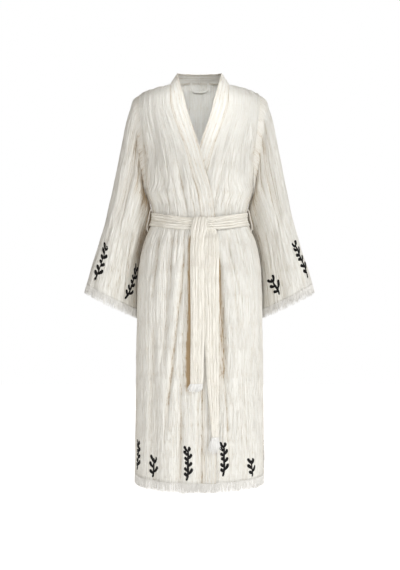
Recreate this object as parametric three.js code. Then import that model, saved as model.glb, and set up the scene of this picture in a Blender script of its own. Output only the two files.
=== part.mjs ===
// Kimono robe of crinkled cotton in its worn, hollow form. Millimetres, +Z up, +X the wearer's left, the front faces -Y.
// The origin is level with the side neck points, on the garment's centre line.
import * as THREE from "three";

// Driving dimensions
const CLOTH = 2; // wall of the body and sleeves
const FACED = 3; // wall of the band, the belt and its tails, which are folded double
const SEAM = 0.4; // parting between two sewn pieces
const HEM_Z = -1095; // cloth edge of the hem, above the fringe
const FRINGE = 29; // backing and strands together
const BACKING = 5; // height of the strip that holds the strands
const UNDER = 7.5; // how far the under front lies inside the over front
const RIDGE_Y = 5; // the shoulder seam
const SKIRT_ROUND = 0.8; // below 1, the skirt's section is fuller than an ellipse
const HIP_Z = -400;
const CAP_Z = -70; // level where the shoulder starts to turn over
const NECK_X = 83; // half width of the neck seam at the shoulder
const NECK_BACK_Y = 80;
const NECK_BACK_Z = 28.5;
const BELT_HEIGHT = 36;
const BELT_OUT = 4.2; // centre of the belt's wall outside the centre of the cloth's wall
const SLEEVE_BACK = 50; // how far the inner edge of a sleeve lies back, behind the waist and the skirt
const LOOP_Y = -20; // where the belt loops stand, forward of the side seam

// Half width and half depths of the body at each level
const BODY = [
  { z: 0, w: 192, f: 64, b: 80 },
  { z: -60, w: 192, f: 79, b: 88 },
  { z: -100, w: 190, f: 92, b: 97 },
  { z: -170, w: 182, f: 106, b: 104 },
  { z: -230, w: 172, f: 112, b: 104 },
  { z: -311, w: 150, f: 108, b: 99 },
  { z: -345, w: 136, f: 101, b: 94 },
  { z: -377, w: 132, f: 97, b: 91 },
  { z: -405, w: 141, f: 100, b: 97 },
  { z: -448, w: 158.5, f: 107, b: 108 },
  { z: -496, w: 169.6, f: 114, b: 116 },
  { z: -550, w: 174, f: 119, b: 122 },
  { z: -610, w: 176, f: 119, b: 127 },
  { z: -680, w: 176.8, f: 122, b: 131 },
  { z: -1020, w: 180.8, f: 129, b: 141 },
  { z: -1100, w: 182, f: 131, b: 143 },
];
// Where the armhole cuts the body, in degrees from the centre line
const ARMHOLE = [
  { z: CAP_Z, deg: 60.6 },
  { z: -112, deg: 59.9 },
  { z: -176, deg: 59.1 },
  { z: -215, deg: 60.2 },
  { z: -250, deg: 63 },
  { z: -285, deg: 70 },
  { z: -315, deg: 90 },
];
// Front opening of the wearer's right front: the band's seam, its leading edge, and how much higher the leading edge lies
const OPENING = [
  { z: CAP_Z, seam: -79, lead: -38, lift: 23 },
  { z: -89, seam: -75.4, lead: -33.7, lift: 18 },
  { z: -136, seam: -60.1, lead: -18.7, lift: 12.5 },
  { z: -192, seam: -40.1, lead: 0, lift: 10 },
  { z: -274, seam: -18.5, lead: 22, lift: 9 },
  { z: -323, seam: -4, lead: 36.1, lift: 8 },
  { z: -384, seam: 3.9, lead: 43.8, lift: 3 },
  { z: -462, seam: 9.8, lead: 48.8, lift: 0 },
  { z: HEM_Z, seam: 7.7, lead: 44.1, lift: 0 },
];
// Leading edge of the band where it stands round the side of the neck, from the shoulder forward
const STAND = [
  { x: -62, y: 0, z: 36 },
  { x: -60.7, y: -24, z: 25 },
  { x: -56.4, y: -47, z: 4 },
  { x: -49.3, y: -65, z: -26 },
  { x: -40.3, y: -77, z: -56 },
];
// The shoulder seam from neck to armhole
const SHOULDER = [
  { x: 83, z: 0 },
  { x: 110, z: -4.5 },
  { x: 135, z: -11 },
  { x: 172, z: -27 },
];
const CAP_ROWS = [1, 0.75, 0.5, 0.25]; // share of the turn from the chest over to the shoulder seam
const LEVELS = [
  CAP_Z, -105, -140, -175, -215, -250, -285, -315, -342, -364, -384, -404,
  -424, -458, -500, -560, -640, -740, -850, -970, HEM_Z,
];
const UNDERARM = 7; // index in LEVELS of the underarm
// Troughs of the front: x and z at each end, depth, half width
const FRONT_FOLDS = [
  { x0: -122, z0: -299, x1: -103, z1: -370, depth: 3.5, wide: 12 },
  { x0: -114, z0: -238, x1: -78, z1: -374, depth: 5, wide: 15 },
  { x0: -65, z0: -221, x1: -30, z1: -384, depth: 4.5, wide: 13 },
  { x0: 96, z0: -283, x1: 74, z1: -378, depth: 4, wide: 13 },
  { x0: 72, z0: -221, x1: 41, z1: -362, depth: 4.5, wide: 13 },
  { x0: -126, z0: -92, x1: -120, z1: -252, depth: 6, wide: 20 },
  { x0: 126, z0: -92, x1: 118, z1: -262, depth: 6, wide: 20 },
  { x0: -107, z0: -403, x1: -136, z1: -566, depth: 5, wide: 14 },
  { x0: -81, z0: -406, x1: -102, z1: -823, depth: 7, wide: 16 },
  { x0: -39, z0: -415, x1: -60, z1: -1130, depth: 6, wide: 18 },
  { x0: 4, z0: -442, x1: 2, z1: -1130, depth: 6, wide: 13 },
  { x0: 61, z0: -421, x1: 64, z1: -901, depth: 7, wide: 13 },
  { x0: 77, z0: -410, x1: 114, z1: -705, depth: 6, wide: 14 },
  { x0: 111, z0: -403, x1: 138, z1: -546, depth: 4.5, wide: 13 },
  { x0: -126, z0: -626, x1: -125, z1: -1130, depth: 6, wide: 20 },
  { x0: 125, z0: -705, x1: 118, z1: -1130, depth: 6, wide: 20 },
];
// Troughs of the back
const BACK_FOLDS = [
  { x0: -128, z0: -90, x1: -112, z1: -250, depth: 6, wide: 20 },
  { x0: 126, z0: -90, x1: 114, z1: -260, depth: 6, wide: 20 },
  { x0: -84, z0: -200, x1: -62, z1: -370, depth: 5, wide: 16 },
  { x0: -22, z0: -180, x1: -18, z1: -366, depth: 4, wide: 15 },
  { x0: 34, z0: -230, x1: 26, z1: -366, depth: 4.5, wide: 15 },
  { x0: 92, z0: -210, x1: 70, z1: -366, depth: 5, wide: 16 },
  { x0: -96, z0: -396, x1: -128, z1: -760, depth: 7, wide: 17 },
  { x0: -52, z0: -396, x1: -72, z1: -1130, depth: 8, wide: 19 },
  { x0: -10, z0: -396, x1: -16, z1: -900, depth: 7, wide: 17 },
  { x0: 30, z0: -396, x1: 44, z1: -1130, depth: 8, wide: 19 },
  { x0: 74, z0: -396, x1: 100, z1: -820, depth: 7, wide: 17 },
  { x0: 106, z0: -396, x1: 138, z1: -1130, depth: 6, wide: 19 },
  { x0: -118, z0: -700, x1: -124, z1: -1130, depth: 6, wide: 19 },
];
// Rings of a sleeve: its upper and lower edge in the X-Z plane, its half depth and the run of its centre in Y
const SLEEVE = [
  { ox: 172, oz: -27, ix: 150, iz: -315, half: 46, y: 2 },
  { ox: 187, oz: -40, ix: 151.5, iz: -323, half: 52, y: 2 },
  { ox: 195.5, oz: -68, ix: 149, iz: -336, half: 56, y: 1 },
  { ox: 205.5, oz: -102, ix: 142.5, iz: -353, half: 59, y: 0 },
  { ox: 217, oz: -158, ix: 136, iz: -380, half: 60, y: -1 },
  { ox: 228, oz: -213, ix: 144, iz: -408, half: 61, y: -2 },
  { ox: 240, oz: -275, ix: 154, iz: -436, half: 61, y: -3 },
  { ox: 253, oz: -335, ix: 163.5, iz: -466, half: 60, y: -4 },
  { ox: 265.5, oz: -390, ix: 170, iz: -496, half: 58, y: -4 },
  { ox: 278.5, oz: -436, ix: 174, iz: -530, half: 56, y: -4 },
  { ox: 291, oz: -478, ix: 176.5, iz: -566, half: 54, y: -4 },
  { ox: 305.5, oz: -518, ix: 178, iz: -602, half: 53, y: -4 },
  { ox: 318, oz: -564, ix: 179, iz: -638, half: 52, y: -4 },
];
// Troughs along a sleeve: place round the ring in degrees from the upper edge, front positive, at the two ends
const SLEEVE_FOLDS = [
  { s0: 0.02, a0: 78, s1: 0.75, a1: 62, depth: 12, wide: 22 },
  { s0: 0.04, a0: 122, s1: 0.6, a1: 128, depth: 7, wide: 20 },
  { s0: 0.45, a0: 100, s1: 1.2, a1: 104, depth: 7, wide: 20 },
  { s0: 0.02, a0: 284, s1: 0.75, a1: 300, depth: 10, wide: 22 },
  { s0: 0.35, a0: 240, s1: 1.2, a1: 246, depth: 7, wide: 22 },
];
// The hanging ends of the belt: centre, width and how far each stands off the robe
const TAIL_RIGHT = [
  { z: -423, x: -1, wide: 28.3, off: 12 },
  { z: -437.6, x: -4.9, wide: 35.1, off: 9 },
  { z: -482.1, x: -6.8, wide: 36, off: 7.5 },
  { z: -570.5, x: -5.8, wide: 35.9, off: 7.5 },
  { z: -668.1, x: -4.9, wide: 34.9, off: 7.5 },
  { z: -745.8, x: -5.8, wide: 34.9, off: 7.5 },
  { z: -804, x: -6.8, wide: 33.9, off: 8 },
  { z: -829.2, x: -7.8, wide: 32, off: 8 },
];
const TAIL_LEFT = [
  { z: -417.7, x: 32.2, wide: 24.4, off: 10 },
  { z: -442.5, x: 34.1, wide: 36.1, off: 8 },
  { z: -492, x: 33.1, wide: 37, off: 7.5 },
  { z: -570.5, x: 32.1, wide: 37.9, off: 7.5 },
  { z: -687.5, x: 32, wide: 35.9, off: 7.5 },
  { z: -804, x: 34.9, wide: 31, off: 7.5 },
  { z: -900.9, x: 38.7, wide: 23.2, off: 7.5 },
  { z: -970.6, x: 41.6, wide: 16.5, off: 8 },
];
// The knot from the wearer's right to left: centre, half height and half depth
const KNOT = [
  { x: -18.5, z: -401.5, high: 8.8, deep: 5 },
  { x: -13.7, z: -402.5, high: 13.7, deep: 7.5 },
  { x: -6.8, z: -403.5, high: 16.6, deep: 9.5 },
  { x: 1, z: -404.5, high: 18, deep: 10.5 },
  { x: 8.8, z: -404.5, high: 18, deep: 10.5 },
  { x: 15.6, z: -403.5, high: 16.6, deep: 9 },
  { x: 21.4, z: -402.5, high: 13.7, deep: 7 },
  { x: 25.3, z: -401.5, high: 8.8, deep: 4.5 },
];
// Strands of each fringe
const STRANDS = { back: 58, right: 42, left: 36, cuff: 28, tassel: 7 };

const rad = Math.PI / 180;
const mix = (a, b, t) => a + (b - a) * t;
const ease = (t) => {
  const k = Math.min(1, Math.max(0, t));
  return k * k * (3 - 2 * k);
};
const wave = (i, k) => Math.sin(i * 12.9898 + k * 78.233); // a fixed, uneven sway for strand i

// The value of a column at a key, by a cubic through the rows that keeps to them
function along(rows, key, at, column) {
  const last = rows.length - 1;
  const up = rows[last][key] > rows[0][key] ? 1 : -1;
  let i = 0;
  while (i < last - 1 && (at - rows[i + 1][key]) * up > 0) i++;
  const span = rows[i + 1][key] - rows[i][key];
  const t = Math.min(1, Math.max(0, (at - rows[i][key]) / span));
  const slope = (a, b) => (rows[b][column] - rows[a][column]) / (rows[b][key] - rows[a][key]);
  const here = slope(i, i + 1);
  const tangent = (j) => {
    if (j === 0 || j === last) return here;
    const before = slope(j - 1, j);
    const after = slope(j, j + 1);
    if (before * after <= 0) return 0;
    return (2 * before * after) / (before + after);
  };
  const m0 = tangent(i) * span;
  const m1 = tangent(i + 1) * span;
  const t2 = t * t;
  const t3 = t2 * t;
  return (
    (2 * t3 - 3 * t2 + 1) * rows[i][column] +
    (t3 - 2 * t2 + t) * m0 +
    (3 * t2 - 2 * t3) * rows[i + 1][column] +
    (t3 - t2) * m1
  );
}

// Depth of the troughs at a place on the body's front or back
function trough(folds, x, z) {
  return folds.reduce((sum, r) => {
    const t = (z - r.z0) / (r.z1 - r.z0);
    if (t <= 0 || t >= 1) return sum;
    const off = (x - mix(r.x0, r.x1, t)) / r.wide;
    const end = ease(t / 0.25) * (r.z1 < HEM_Z ? 1 : ease((1 - t) / 0.25));
    const hold = r.z1 > -395 && r.z1 < -345 ? ease(t / 0.4) : end;
    return sum + r.depth * hold * Math.exp(-2 * off * off);
  }, 0);
}

// A point on the body: angle from the centre line in degrees (the wearer's left positive), level, back or front, depth inside the surface
function onBody(deg, z, back, inside = 0) {
  const w = along(BODY, "z", z, "w");
  const d = along(BODY, "z", z, back ? "b" : "f");
  const a = deg * rad;
  const x = w * Math.sin(a);
  const fuller = mix(1, SKIRT_ROUND, ease((HIP_Z - z) / 200));
  const y = (back ? 1 : -1) * Math.max(SEAM * 0.6, d * Math.pow(Math.max(0, Math.cos(a)), fuller));
  const n = new THREE.Vector3(x / (w * w), y / (d * d), 0).normalize();
  const edge = ease((Math.abs(Math.cos(a)) - 0.05) / 0.25);
  const in_ = inside + edge * trough(back ? BACK_FOLDS : FRONT_FOLDS, x, z);
  return new THREE.Vector3(x, y, z).addScaledVector(n, -in_);
}
const degAt = (x, z) => Math.asin(Math.max(-1, Math.min(1, x / along(BODY, "z", z, "w")))) / rad;
// How far inside the under front lies at a place
const tucked = (x, z) => UNDER * ease((125 - x) / 62) * ease((CAP_Z - z) / 95);

// The turn from the chest or the back over to a point on the shoulder or neck seam
function turned(base, top, share) {
  const a = share * 90 * rad;
  return new THREE.Vector3(
    mix(base.x, top.x, share),
    mix(base.y, top.y, 1 - Math.cos(a)),
    mix(base.z, top.z, Math.sin(a)),
  );
}
const shoulderAt = (x, side, y) =>
  new THREE.Vector3(side * x, y, along(SHOULDER, "x", x, "z"));
// A point on the neck seam round the back, share 0 at the shoulder and 1 at the centre back
const neckSeam = (share, side) =>
  new THREE.Vector3(
    side * NECK_X * Math.cos(share * 90 * rad),
    RIDGE_Y + (NECK_BACK_Y - RIDGE_Y) * Math.sin(share * 90 * rad),
    NECK_BACK_Z * Math.sin(share * 90 * rad),
  );
const neckTop = (share, side) =>
  new THREE.Vector3(
    side * 62 * Math.cos(share * 90 * rad),
    52 * Math.sin(share * 90 * rad),
    36 + 12.5 * Math.sin(share * 90 * rad),
  );

// A front panel's row at a level, from the armhole or side seam to the band's seam. side -1 is the over front, +1 the under one.
function frontPoint(side, share, z) {
  const edge = z > LEVELS[UNDERARM] ? along(ARMHOLE, "z", z, "deg") : 90;
  const seam = degAt(-along(OPENING, "z", z, "seam"), z);
  const deg = side * mix(edge, seam, share);
  const flat = onBody(deg, z, false, 0);
  return side < 0 ? flat : onBody(deg, z, false, tucked(flat.x, z));
}
function frontGrid(side, columns) {
  const rows = [];
  for (const share of CAP_ROWS) {
    const row = [];
    for (let c = 0; c <= columns; c++) {
      const t = c / columns;
      const top = shoulderAt(mix(172, NECK_X, t), side, RIDGE_Y - SEAM / 2);
      row.push(turned(frontPoint(side, t, CAP_Z), top, share));
    }
    rows.push(row);
  }
  for (const z of LEVELS) {
    const row = [];
    for (let c = 0; c <= columns; c++) row.push(frontPoint(side, c / columns, z));
    rows.push(row);
  }
  return rows;
}
// The back panel, with the neck seam between its two shoulders
function backGrid(shoulder, neck) {
  const columns = 2 * (shoulder + neck);
  const place = (c) => c / columns * 2 - 1;
  const rows = [];
  const topAt = (c) => {
    const side = c <= columns / 2 ? -1 : 1;
    const k = Math.min(c, columns - c);
    if (k <= shoulder) return shoulderAt(mix(172, NECK_X, k / shoulder), side, RIDGE_Y + SEAM / 2);
    const p = neckSeam((k - shoulder) / neck, side);
    return p;
  };
  const backPoint = (c, z) => {
    const edge = z > LEVELS[UNDERARM] ? along(ARMHOLE, "z", z, "deg") : 90;
    return onBody(place(c) * edge, z, true);
  };
  for (const share of CAP_ROWS) {
    const row = [];
    for (let c = 0; c <= columns; c++) row.push(turned(backPoint(c, CAP_Z), topAt(c), share));
    rows.push(row);
  }
  for (const z of LEVELS) {
    const row = [];
    for (let c = 0; c <= columns; c++) row.push(backPoint(c, z));
    rows.push(row);
  }
  return rows;
}

// A closed wall about a grid of points. round closes each row on itself.
function wall(grid, thick, round = false, flip = false) {
  const n = grid.length;
  const m = grid[0].length;
  const at = (i, j) => grid[i][round ? (j + m) % m : Math.min(m - 1, Math.max(0, j))];
  const normals = grid.map((row, i) =>
    row.map((_, j) => {
      const du = at(i, j + 1).clone().sub(at(i, j - 1));
      const dv = grid[Math.min(n - 1, i + 1)][j].clone().sub(grid[Math.max(0, i - 1)][j]);
      const k = du.cross(dv).normalize();
      return flip ? k.negate() : k;
    }),
  );
  const points = [];
  for (const s of [1, -1])
    for (let i = 0; i < n; i++)
      for (let j = 0; j < m; j++)
        points.push(grid[i][j].clone().addScaledVector(normals[i][j], (s * thick) / 2));
  const id = (s, i, j) => (s * n + i) * m + (round ? j % m : j);
  const faces = [];
  const quad = (a, b, c, d) => (flip ? faces.push([a, c, b], [a, d, c]) : faces.push([a, b, c], [a, c, d]));
  const cells = round ? m : m - 1;
  for (let i = 0; i < n - 1; i++)
    for (let j = 0; j < cells; j++) {
      quad(id(0, i, j), id(0, i, j + 1), id(0, i + 1, j + 1), id(0, i + 1, j));
      quad(id(1, i, j), id(1, i + 1, j), id(1, i + 1, j + 1), id(1, i, j + 1));
    }
  for (let j = 0; j < cells; j++) {
    quad(id(0, 0, j), id(1, 0, j), id(1, 0, j + 1), id(0, 0, j + 1));
    quad(id(0, n - 1, j), id(0, n - 1, j + 1), id(1, n - 1, j + 1), id(1, n - 1, j));
  }
  if (!round)
    for (let i = 0; i < n - 1; i++) {
      quad(id(0, i, 0), id(0, i + 1, 0), id(1, i + 1, 0), id(1, i, 0));
      quad(id(0, i, m - 1), id(1, i, m - 1), id(1, i + 1, m - 1), id(0, i + 1, m - 1));
    }
  return { points, faces };
}
// A closed rod through rings of points, capped at both ends
function rod(rings) {
  const m = rings[0].length;
  const points = rings.flat();
  const faces = [];
  for (let i = 0; i < rings.length - 1; i++)
    for (let j = 0; j < m; j++) {
      const k = (j + 1) % m;
      const [a, b, c, d] = [i * m + j, i * m + k, (i + 1) * m + k, (i + 1) * m + j];
      faces.push([a, b, c], [a, c, d]);
    }
  const end = (rings.length - 1) * m;
  for (let j = 1; j < m - 1; j++) faces.push([0, j + 1, j], [end, end + j, end + j + 1]);
  return { points, faces };
}
// A fringe: a backing strip with its strands fused along the lower edge. Each row holds root and tip places for the strands.
function fringe(edge, down, out, thick, count, round, reach, backing = BACKING, flare = 0, part = SEAM) {
  const at = (t) => {
    const n = edge.length - (round ? 0 : 1);
    const k = Math.min(t * n, n - 1e-6);
    const i = Math.floor(k);
    const pick = (list) => list[i].clone().lerp(list[(i + 1) % list.length], k - i);
    return { p: pick(edge), d: pick(down).normalize(), o: pick(out).normalize() };
  };
  const steps = count + (round ? 0 : 1);
  const points = [];
  for (let i = 0; i < steps; i++) {
    const { p, d, o } = at(i / count);
    for (const [drop, s] of [[part, 1], [part, -1], [backing, 1], [backing, -1]])
      points.push(p.clone().addScaledVector(d, drop).addScaledVector(o, (s * thick) / 2));
  }
  const faces = [];
  const quad = (a, b, c, d) => faces.push([a, b, c], [a, c, d]);
  for (let i = 0; i < count; i++) {
    const a = i * 4;
    const b = ((i + 1) % steps) * 4;
    quad(a, b, b + 2, a + 2);
    quad(a + 1, a + 3, b + 3, b + 1);
    quad(a, a + 1, b + 1, b);
    const { p, d, o } = at((i + 0.5) / count);
    const side = points[b + 2].clone().sub(points[a + 2]);
    const lean = wave(i, 1) * 0.18 + flare * ((i + 0.5) / count - 0.5) * 2;
    const tip = p.clone().addScaledVector(d, reach * (0.96 + 0.04 * wave(i, 2))).addScaledVector(side, lean).addScaledVector(o, wave(i, 3) * 1.2);
    const first = points.length;
    for (const [u, s] of [[-1, 1], [1, 1], [1, -1], [-1, -1]])
      points.push(tip.clone().addScaledVector(side, u * 0.2).addScaledVector(o, s * thick * 0.28));
    const roots = [a + 2, b + 2, b + 3, a + 3];
    for (let k = 0; k < 4; k++) {
      const l = (k + 1) % 4;
      quad(roots[k], roots[l], first + l, first + k);
    }
    quad(first, first + 1, first + 2, first + 3);
  }
  if (!round) {
    const e = count * 4;
    quad(0, 2, 3, 1);
    quad(e, e + 1, e + 3, e + 2);
  }
  return { points, faces };
}
function meshOf({ points, faces }, name, colour, roughness) {
  const made = new THREE.BufferGeometry().setFromPoints(points);
  made.setIndex(faces.flat());
  const volume = faces.reduce((sum, [a, b, c]) => sum + points[a].dot(points[b].clone().cross(points[c])), 0);
  if (volume < 0) made.setIndex(faces.map(([a, b, c]) => [a, c, b]).flat());
  made.computeVertexNormals();
  const mesh = new THREE.Mesh(made, new THREE.MeshStandardMaterial({ color: colour, roughness, metalness: 0 }));
  mesh.name = name;
  root.add(mesh);
  return mesh;
}

const root = new THREE.Group();
const CREAM = 0xe6e2d8;
const LIGHT = 0xeae7e0;

// Body panels
meshOf(wall(backGrid(7, 9), CLOTH), "back", CREAM, 0.92);
const fronts = { [-1]: frontGrid(-1, 15), [1]: frontGrid(1, 15) };
meshOf(wall(fronts[-1], CLOTH), "front_right", CREAM, 0.92);
meshOf(wall(fronts[1], CLOTH), "front_left", CREAM, 0.92);

// Neckband halves: from the centre back round the neck and down the front edge
function bandGrid(side) {
  const rows = [];
  const push = (seam, lead, clear, belly) => {
    const across = lead.clone().sub(seam);
    const from = seam.clone().addScaledVector(across.clone().normalize(), clear);
    const centre = new THREE.Vector3(0, 0, seam.z);
    const outward = seam.clone().sub(centre).normalize();
    rows.push([0, 0.5, 1].map((t) => from.clone().lerp(lead, t).addScaledVector(outward, t === 0.5 ? belly : 0)));
  };
  const steps = 9;
  for (let i = steps; i > 0; i--) {
    const seam = neckSeam(i / steps, side);
    const lead = neckTop(i / steps, side);
    if (i === steps) [seam, lead].forEach((p) => (p.x = (side * SEAM) / 2));
    push(seam, lead, 2.4, 1.5);
  }
  const own = fronts[side];
  STAND.forEach((r, i) => {
    const row = own[i];
    push(row[row.length - 1].clone(), new THREE.Vector3(-side * r.x, r.y, r.z), mix(2.4, 1.1, i / (STAND.length - 1)), 1.5);
  });
  LEVELS.slice(1).forEach((z, i) => {
    const row = own[CAP_ROWS.length + 1 + i];
    const seam = row[row.length - 1].clone();
    const high = z + along(OPENING, "z", z, "lift");
    const x = -side * along(OPENING, "z", high, "lead");
    const deg = degAt(x, high);
    const lead = side < 0 ? onBody(deg, high, false) : onBody(deg, high, false, tucked(x, high));
    push(seam, lead, 0.45, 0.4);
  });
  return rows;
}
const bands = { [-1]: bandGrid(-1), [1]: bandGrid(1) };
meshOf(wall(bands[-1], FACED), "neckband_right", LIGHT, 0.9);
meshOf(wall(bands[1], FACED), "neckband_left", LIGHT, 0.9);

// Sleeves
function armhole(side) {
  const rows = CAP_ROWS.length + UNDERARM + 1;
  const front = fronts[side].slice(0, rows).map((row) => row[0]);
  const b = backs.slice(0, rows).map((row) => (side < 0 ? row[0] : row[row.length - 1]));
  return { front, back: b };
}
const backs = backGrid(7, 9);
function sleeveGrid(side) {
  const { front, back } = armhole(side);
  const count = front.length - 1;
  const span = SLEEVE[0].oz - SLEEVE[0].iz;
  const turns = front.map((p, i) => Math.acos(Math.max(-1, Math.min(1, 1 - (2 * (SLEEVE[0].oz - p.z)) / span))));
  const ring = [];
  for (let i = 0; i < count; i++) ring.push({ p: i === 0 ? front[0].clone().lerp(back[0], 0.5) : front[i], a: i === 0 ? 0 : turns[i] });
  ring.push({ p: front[count].clone().lerp(back[count], 0.5), a: Math.PI });
  for (let i = count - 1; i > 0; i--) ring.push({ p: back[i], a: 2 * Math.PI - turns[i] });
  const grid = SLEEVE.map((r, k) => {
    const o = new THREE.Vector3(side * r.ox, r.y, r.oz);
    const n = new THREE.Vector3(side * r.ix, r.y, r.iz);
    const half = o.clone().sub(n).multiplyScalar(0.5);
    const centre = o.clone().add(n).multiplyScalar(0.5);
    const s = k / (SLEEVE.length - 1);
    return ring.map(({ a }) => {
      const deg = a / rad;
      const in_ = SLEEVE_FOLDS.reduce((sum, f) => {
        const t = (s - f.s0) / (f.s1 - f.s0);
        if (t <= 0 || t >= 1) return sum;
        const off = (deg - mix(f.a0, f.a1, t)) / f.wide;
        return sum + f.depth * ease(t / 0.2) * (f.s1 > 1 ? 1 : ease((1 - t) / 0.3)) * Math.exp(-2 * off * off);
      }, 0);
      const sharp = Math.sign(Math.sin(a)) * Math.pow(Math.abs(Math.sin(a)), 0.85);
      const p = centre.clone().addScaledVector(half, Math.cos(a));
      p.y += SLEEVE_BACK * ease(s / 0.3) * Math.pow((1 - Math.cos(a)) / 2, 2) - r.half * sharp;
      const n2 = half.clone().multiplyScalar(Math.cos(a) / half.length());
      n2.y -= Math.sin(a);
      return p.addScaledVector(n2.normalize(), -in_);
    });
  });
  grid[0] = ring.map(({ p }, j) => {
    const out = grid[1][j].clone().sub(p).normalize();
    const low = ease((-240 - p.z) / 60);
    return p.clone().addScaledVector(out, 1.9).add(new THREE.Vector3(side * 2.4 * low, 0, 0));
  });
  return grid;
}
const sleeves = { [-1]: sleeveGrid(-1), [1]: sleeveGrid(1) };
meshOf(wall(sleeves[-1], CLOTH, true), "sleeve_right", CREAM, 0.92);
meshOf(wall(sleeves[1], CLOTH, true), "sleeve_left", CREAM, 0.92);

// The belt round the waist, open at the front where the knot sits
const beltZ = (a) => -381 - 21 * Math.pow(Math.max(0, Math.cos(a)), 2) + 3 * Math.pow(Math.max(0, -Math.cos(a)), 2);
function beltGrid() {
  const columns = 48;
  const [first, last] = [-4, 6]; // where the two ends run under the knot
  const start = Math.asin(last / 100);
  const stop = 2 * Math.PI + Math.asin(first / 100);
  const rows = [[], [], [], []];
  for (let c = 0; c <= columns; c++) {
    const a = mix(start, stop, c / columns); // from the front centre toward the wearer's left and round
    const z = beltZ(a);
    const nearRight = ease((a - (stop - 0.55)) / 0.55);
    const high = (BELT_HEIGHT / 2) * (1 - 0.38 * nearRight);
    [-1, -0.33, 0.33, 1].forEach((t, i) => {
      const level = z + t * high;
      const w = along(BODY, "z", level, "w") + BELT_OUT;
      const d = along(BODY, "z", level, Math.cos(a) < 0 ? "b" : "f") + BELT_OUT;
      rows[i].push(new THREE.Vector3(w * Math.sin(a), -d * Math.cos(a), level));
    });
  }
  return rows;
}
meshOf(wall(beltGrid(), FACED), "belt", LIGHT, 0.9);

// The knot, a rounded wrap over the belt's two ends
function knot() {
  const rings = KNOT.map((r) => {
    const y = -(along(BODY, "z", r.z, "f") + BELT_OUT + FACED / 2 + SEAM + 11);
    return Array.from({ length: 14 }, (_, j) => {
      const a = (j / 14) * 2 * Math.PI;
      const swell = 1 + 0.06 * Math.cos(3 * a + r.x * 0.12);
      return new THREE.Vector3(r.x + r.high * 0.12 * Math.sin(a), y - r.deep * Math.cos(a) * swell, r.z + r.high * Math.sin(a) * swell);
    });
  });
  return rod(rings);
}
meshOf(knot(), "belt_knot", LIGHT, 0.9);

// The hanging ends
function tailGrid(rows) {
  const steps = 14;
  const [top, low] = [rows[0].z, rows[rows.length - 1].z];
  const grid = [];
  for (let i = 0; i <= steps; i++) {
    const z = mix(top, low, i / steps);
    const wide = along(rows, "z", z, "wide");
    const centre = along(rows, "z", z, "x");
    const off = along(rows, "z", z, "off");
    grid.push(
      [-1, -0.5, 0, 0.5, 1].map((u) => {
        const x = centre + (u * wide) / 2;
        const base = onBody(degAt(x, z), z, false);
        const flat = -Math.max(-base.y, along(BODY, "z", z, "f") - 1.5);
        return new THREE.Vector3(x, flat - off + 0.8 * u * u - 1.4 * Math.cos(u * 5 + i * 0.15), z);
      }),
    );
  }
  return grid;
}
const tails = { right: tailGrid(TAIL_RIGHT), left: tailGrid(TAIL_LEFT) };
meshOf(wall(tails.right, FACED), "belt_tail_right", LIGHT, 0.9);
meshOf(wall(tails.left, FACED), "belt_tail_left", LIGHT, 0.9);

// Fringes
const downOf = (grid) => grid[grid.length - 1].map((p, j) => p.clone().sub(grid[grid.length - 2][j]).normalize());
const outOf = (edge, down, round) =>
  edge.map((p, j) => {
    const n = edge.length;
    const a = edge[round ? (j + n - 1) % n : Math.max(0, j - 1)];
    const b = edge[round ? (j + 1) % n : Math.min(n - 1, j + 1)];
    return b.clone().sub(a).cross(down[j]).normalize();
  });
function addFringe(name, grid, count, round, reach, options = {}) {
  const edge = grid[grid.length - 1];
  const down = options.straight ? edge.map(() => new THREE.Vector3(0, 0, -1)) : downOf(grid);
  const out = outOf(edge, down, round);
  meshOf(fringe(edge, down, out, options.thick || CLOTH, count, round, reach, options.backing, options.flare, options.part), name, LIGHT, 0.95);
}
addFringe("fringe_hem_back", backs, STRANDS.back, false, FRINGE, { straight: true });
for (const [side, word] of [[-1, "right"], [1, "left"]]) {
  const own = fronts[side];
  const band = bands[side];
  const edge = [...own[own.length - 1].slice(0, -1), ...band[band.length - 1]];
  addFringe("fringe_hem_" + word, [edge, edge], STRANDS[word], false, FRINGE, { straight: true });
  addFringe("fringe_cuff_" + word, sleeves[side], STRANDS.cuff, true, FRINGE, { part: 0.9 });
  addFringe("belt_tassel_" + word, tails[word], STRANDS.tassel, false, word === "right" ? 26 : 46, { straight: true, thick: FACED, flare: word === "right" ? 0.35 : 1.1 });
}

// A cord through places, with a round or flat section
function cordRings(path, wide, thick, sides, flatTo) {
  return path.map((p, i) => {
    const d = path[Math.min(path.length - 1, i + 1)].clone().sub(path[Math.max(0, i - 1)]).normalize();
    const v = flatTo.clone().addScaledVector(d, -flatTo.dot(d)).normalize();
    const u = d.clone().cross(v);
    return Array.from({ length: sides }, (_, j) => {
      const a = ((j + 0.5) / sides) * 2 * Math.PI;
      const k = sides === 4 ? Math.SQRT2 : 1;
      return p.clone().addScaledVector(u, (k * wide * Math.cos(a)) / 2).addScaledVector(v, (k * thick * Math.sin(a)) / 2);
    });
  });
}
// Belt loops at the side seams: how far each stands off the body at a level
const LOOP = [
  { z: -351, off: 2.6 },
  { z: -359, off: 8.5 },
  { z: -370, off: 12.5 },
  { z: -384, off: 13.7 },
  { z: -398, off: 12.5 },
  { z: -409, off: 8.5 },
  { z: -417, off: 2.6 },
];
for (const [side, word] of [[-1, "right"], [1, "left"]]) {
  const path = LOOP.map((r) => {
    const forward = Math.sqrt(1 - Math.pow(LOOP_Y / along(BODY, "z", r.z, "f"), 2));
    return new THREE.Vector3(side * (along(BODY, "z", r.z, "w") * forward + r.off), LOOP_Y, r.z);
  });
  meshOf(rod(cordRings(path, 2.4, 2.4, 6, new THREE.Vector3(0, 1, 0))), "belt_loop_" + word, CREAM, 0.9);
}
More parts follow.
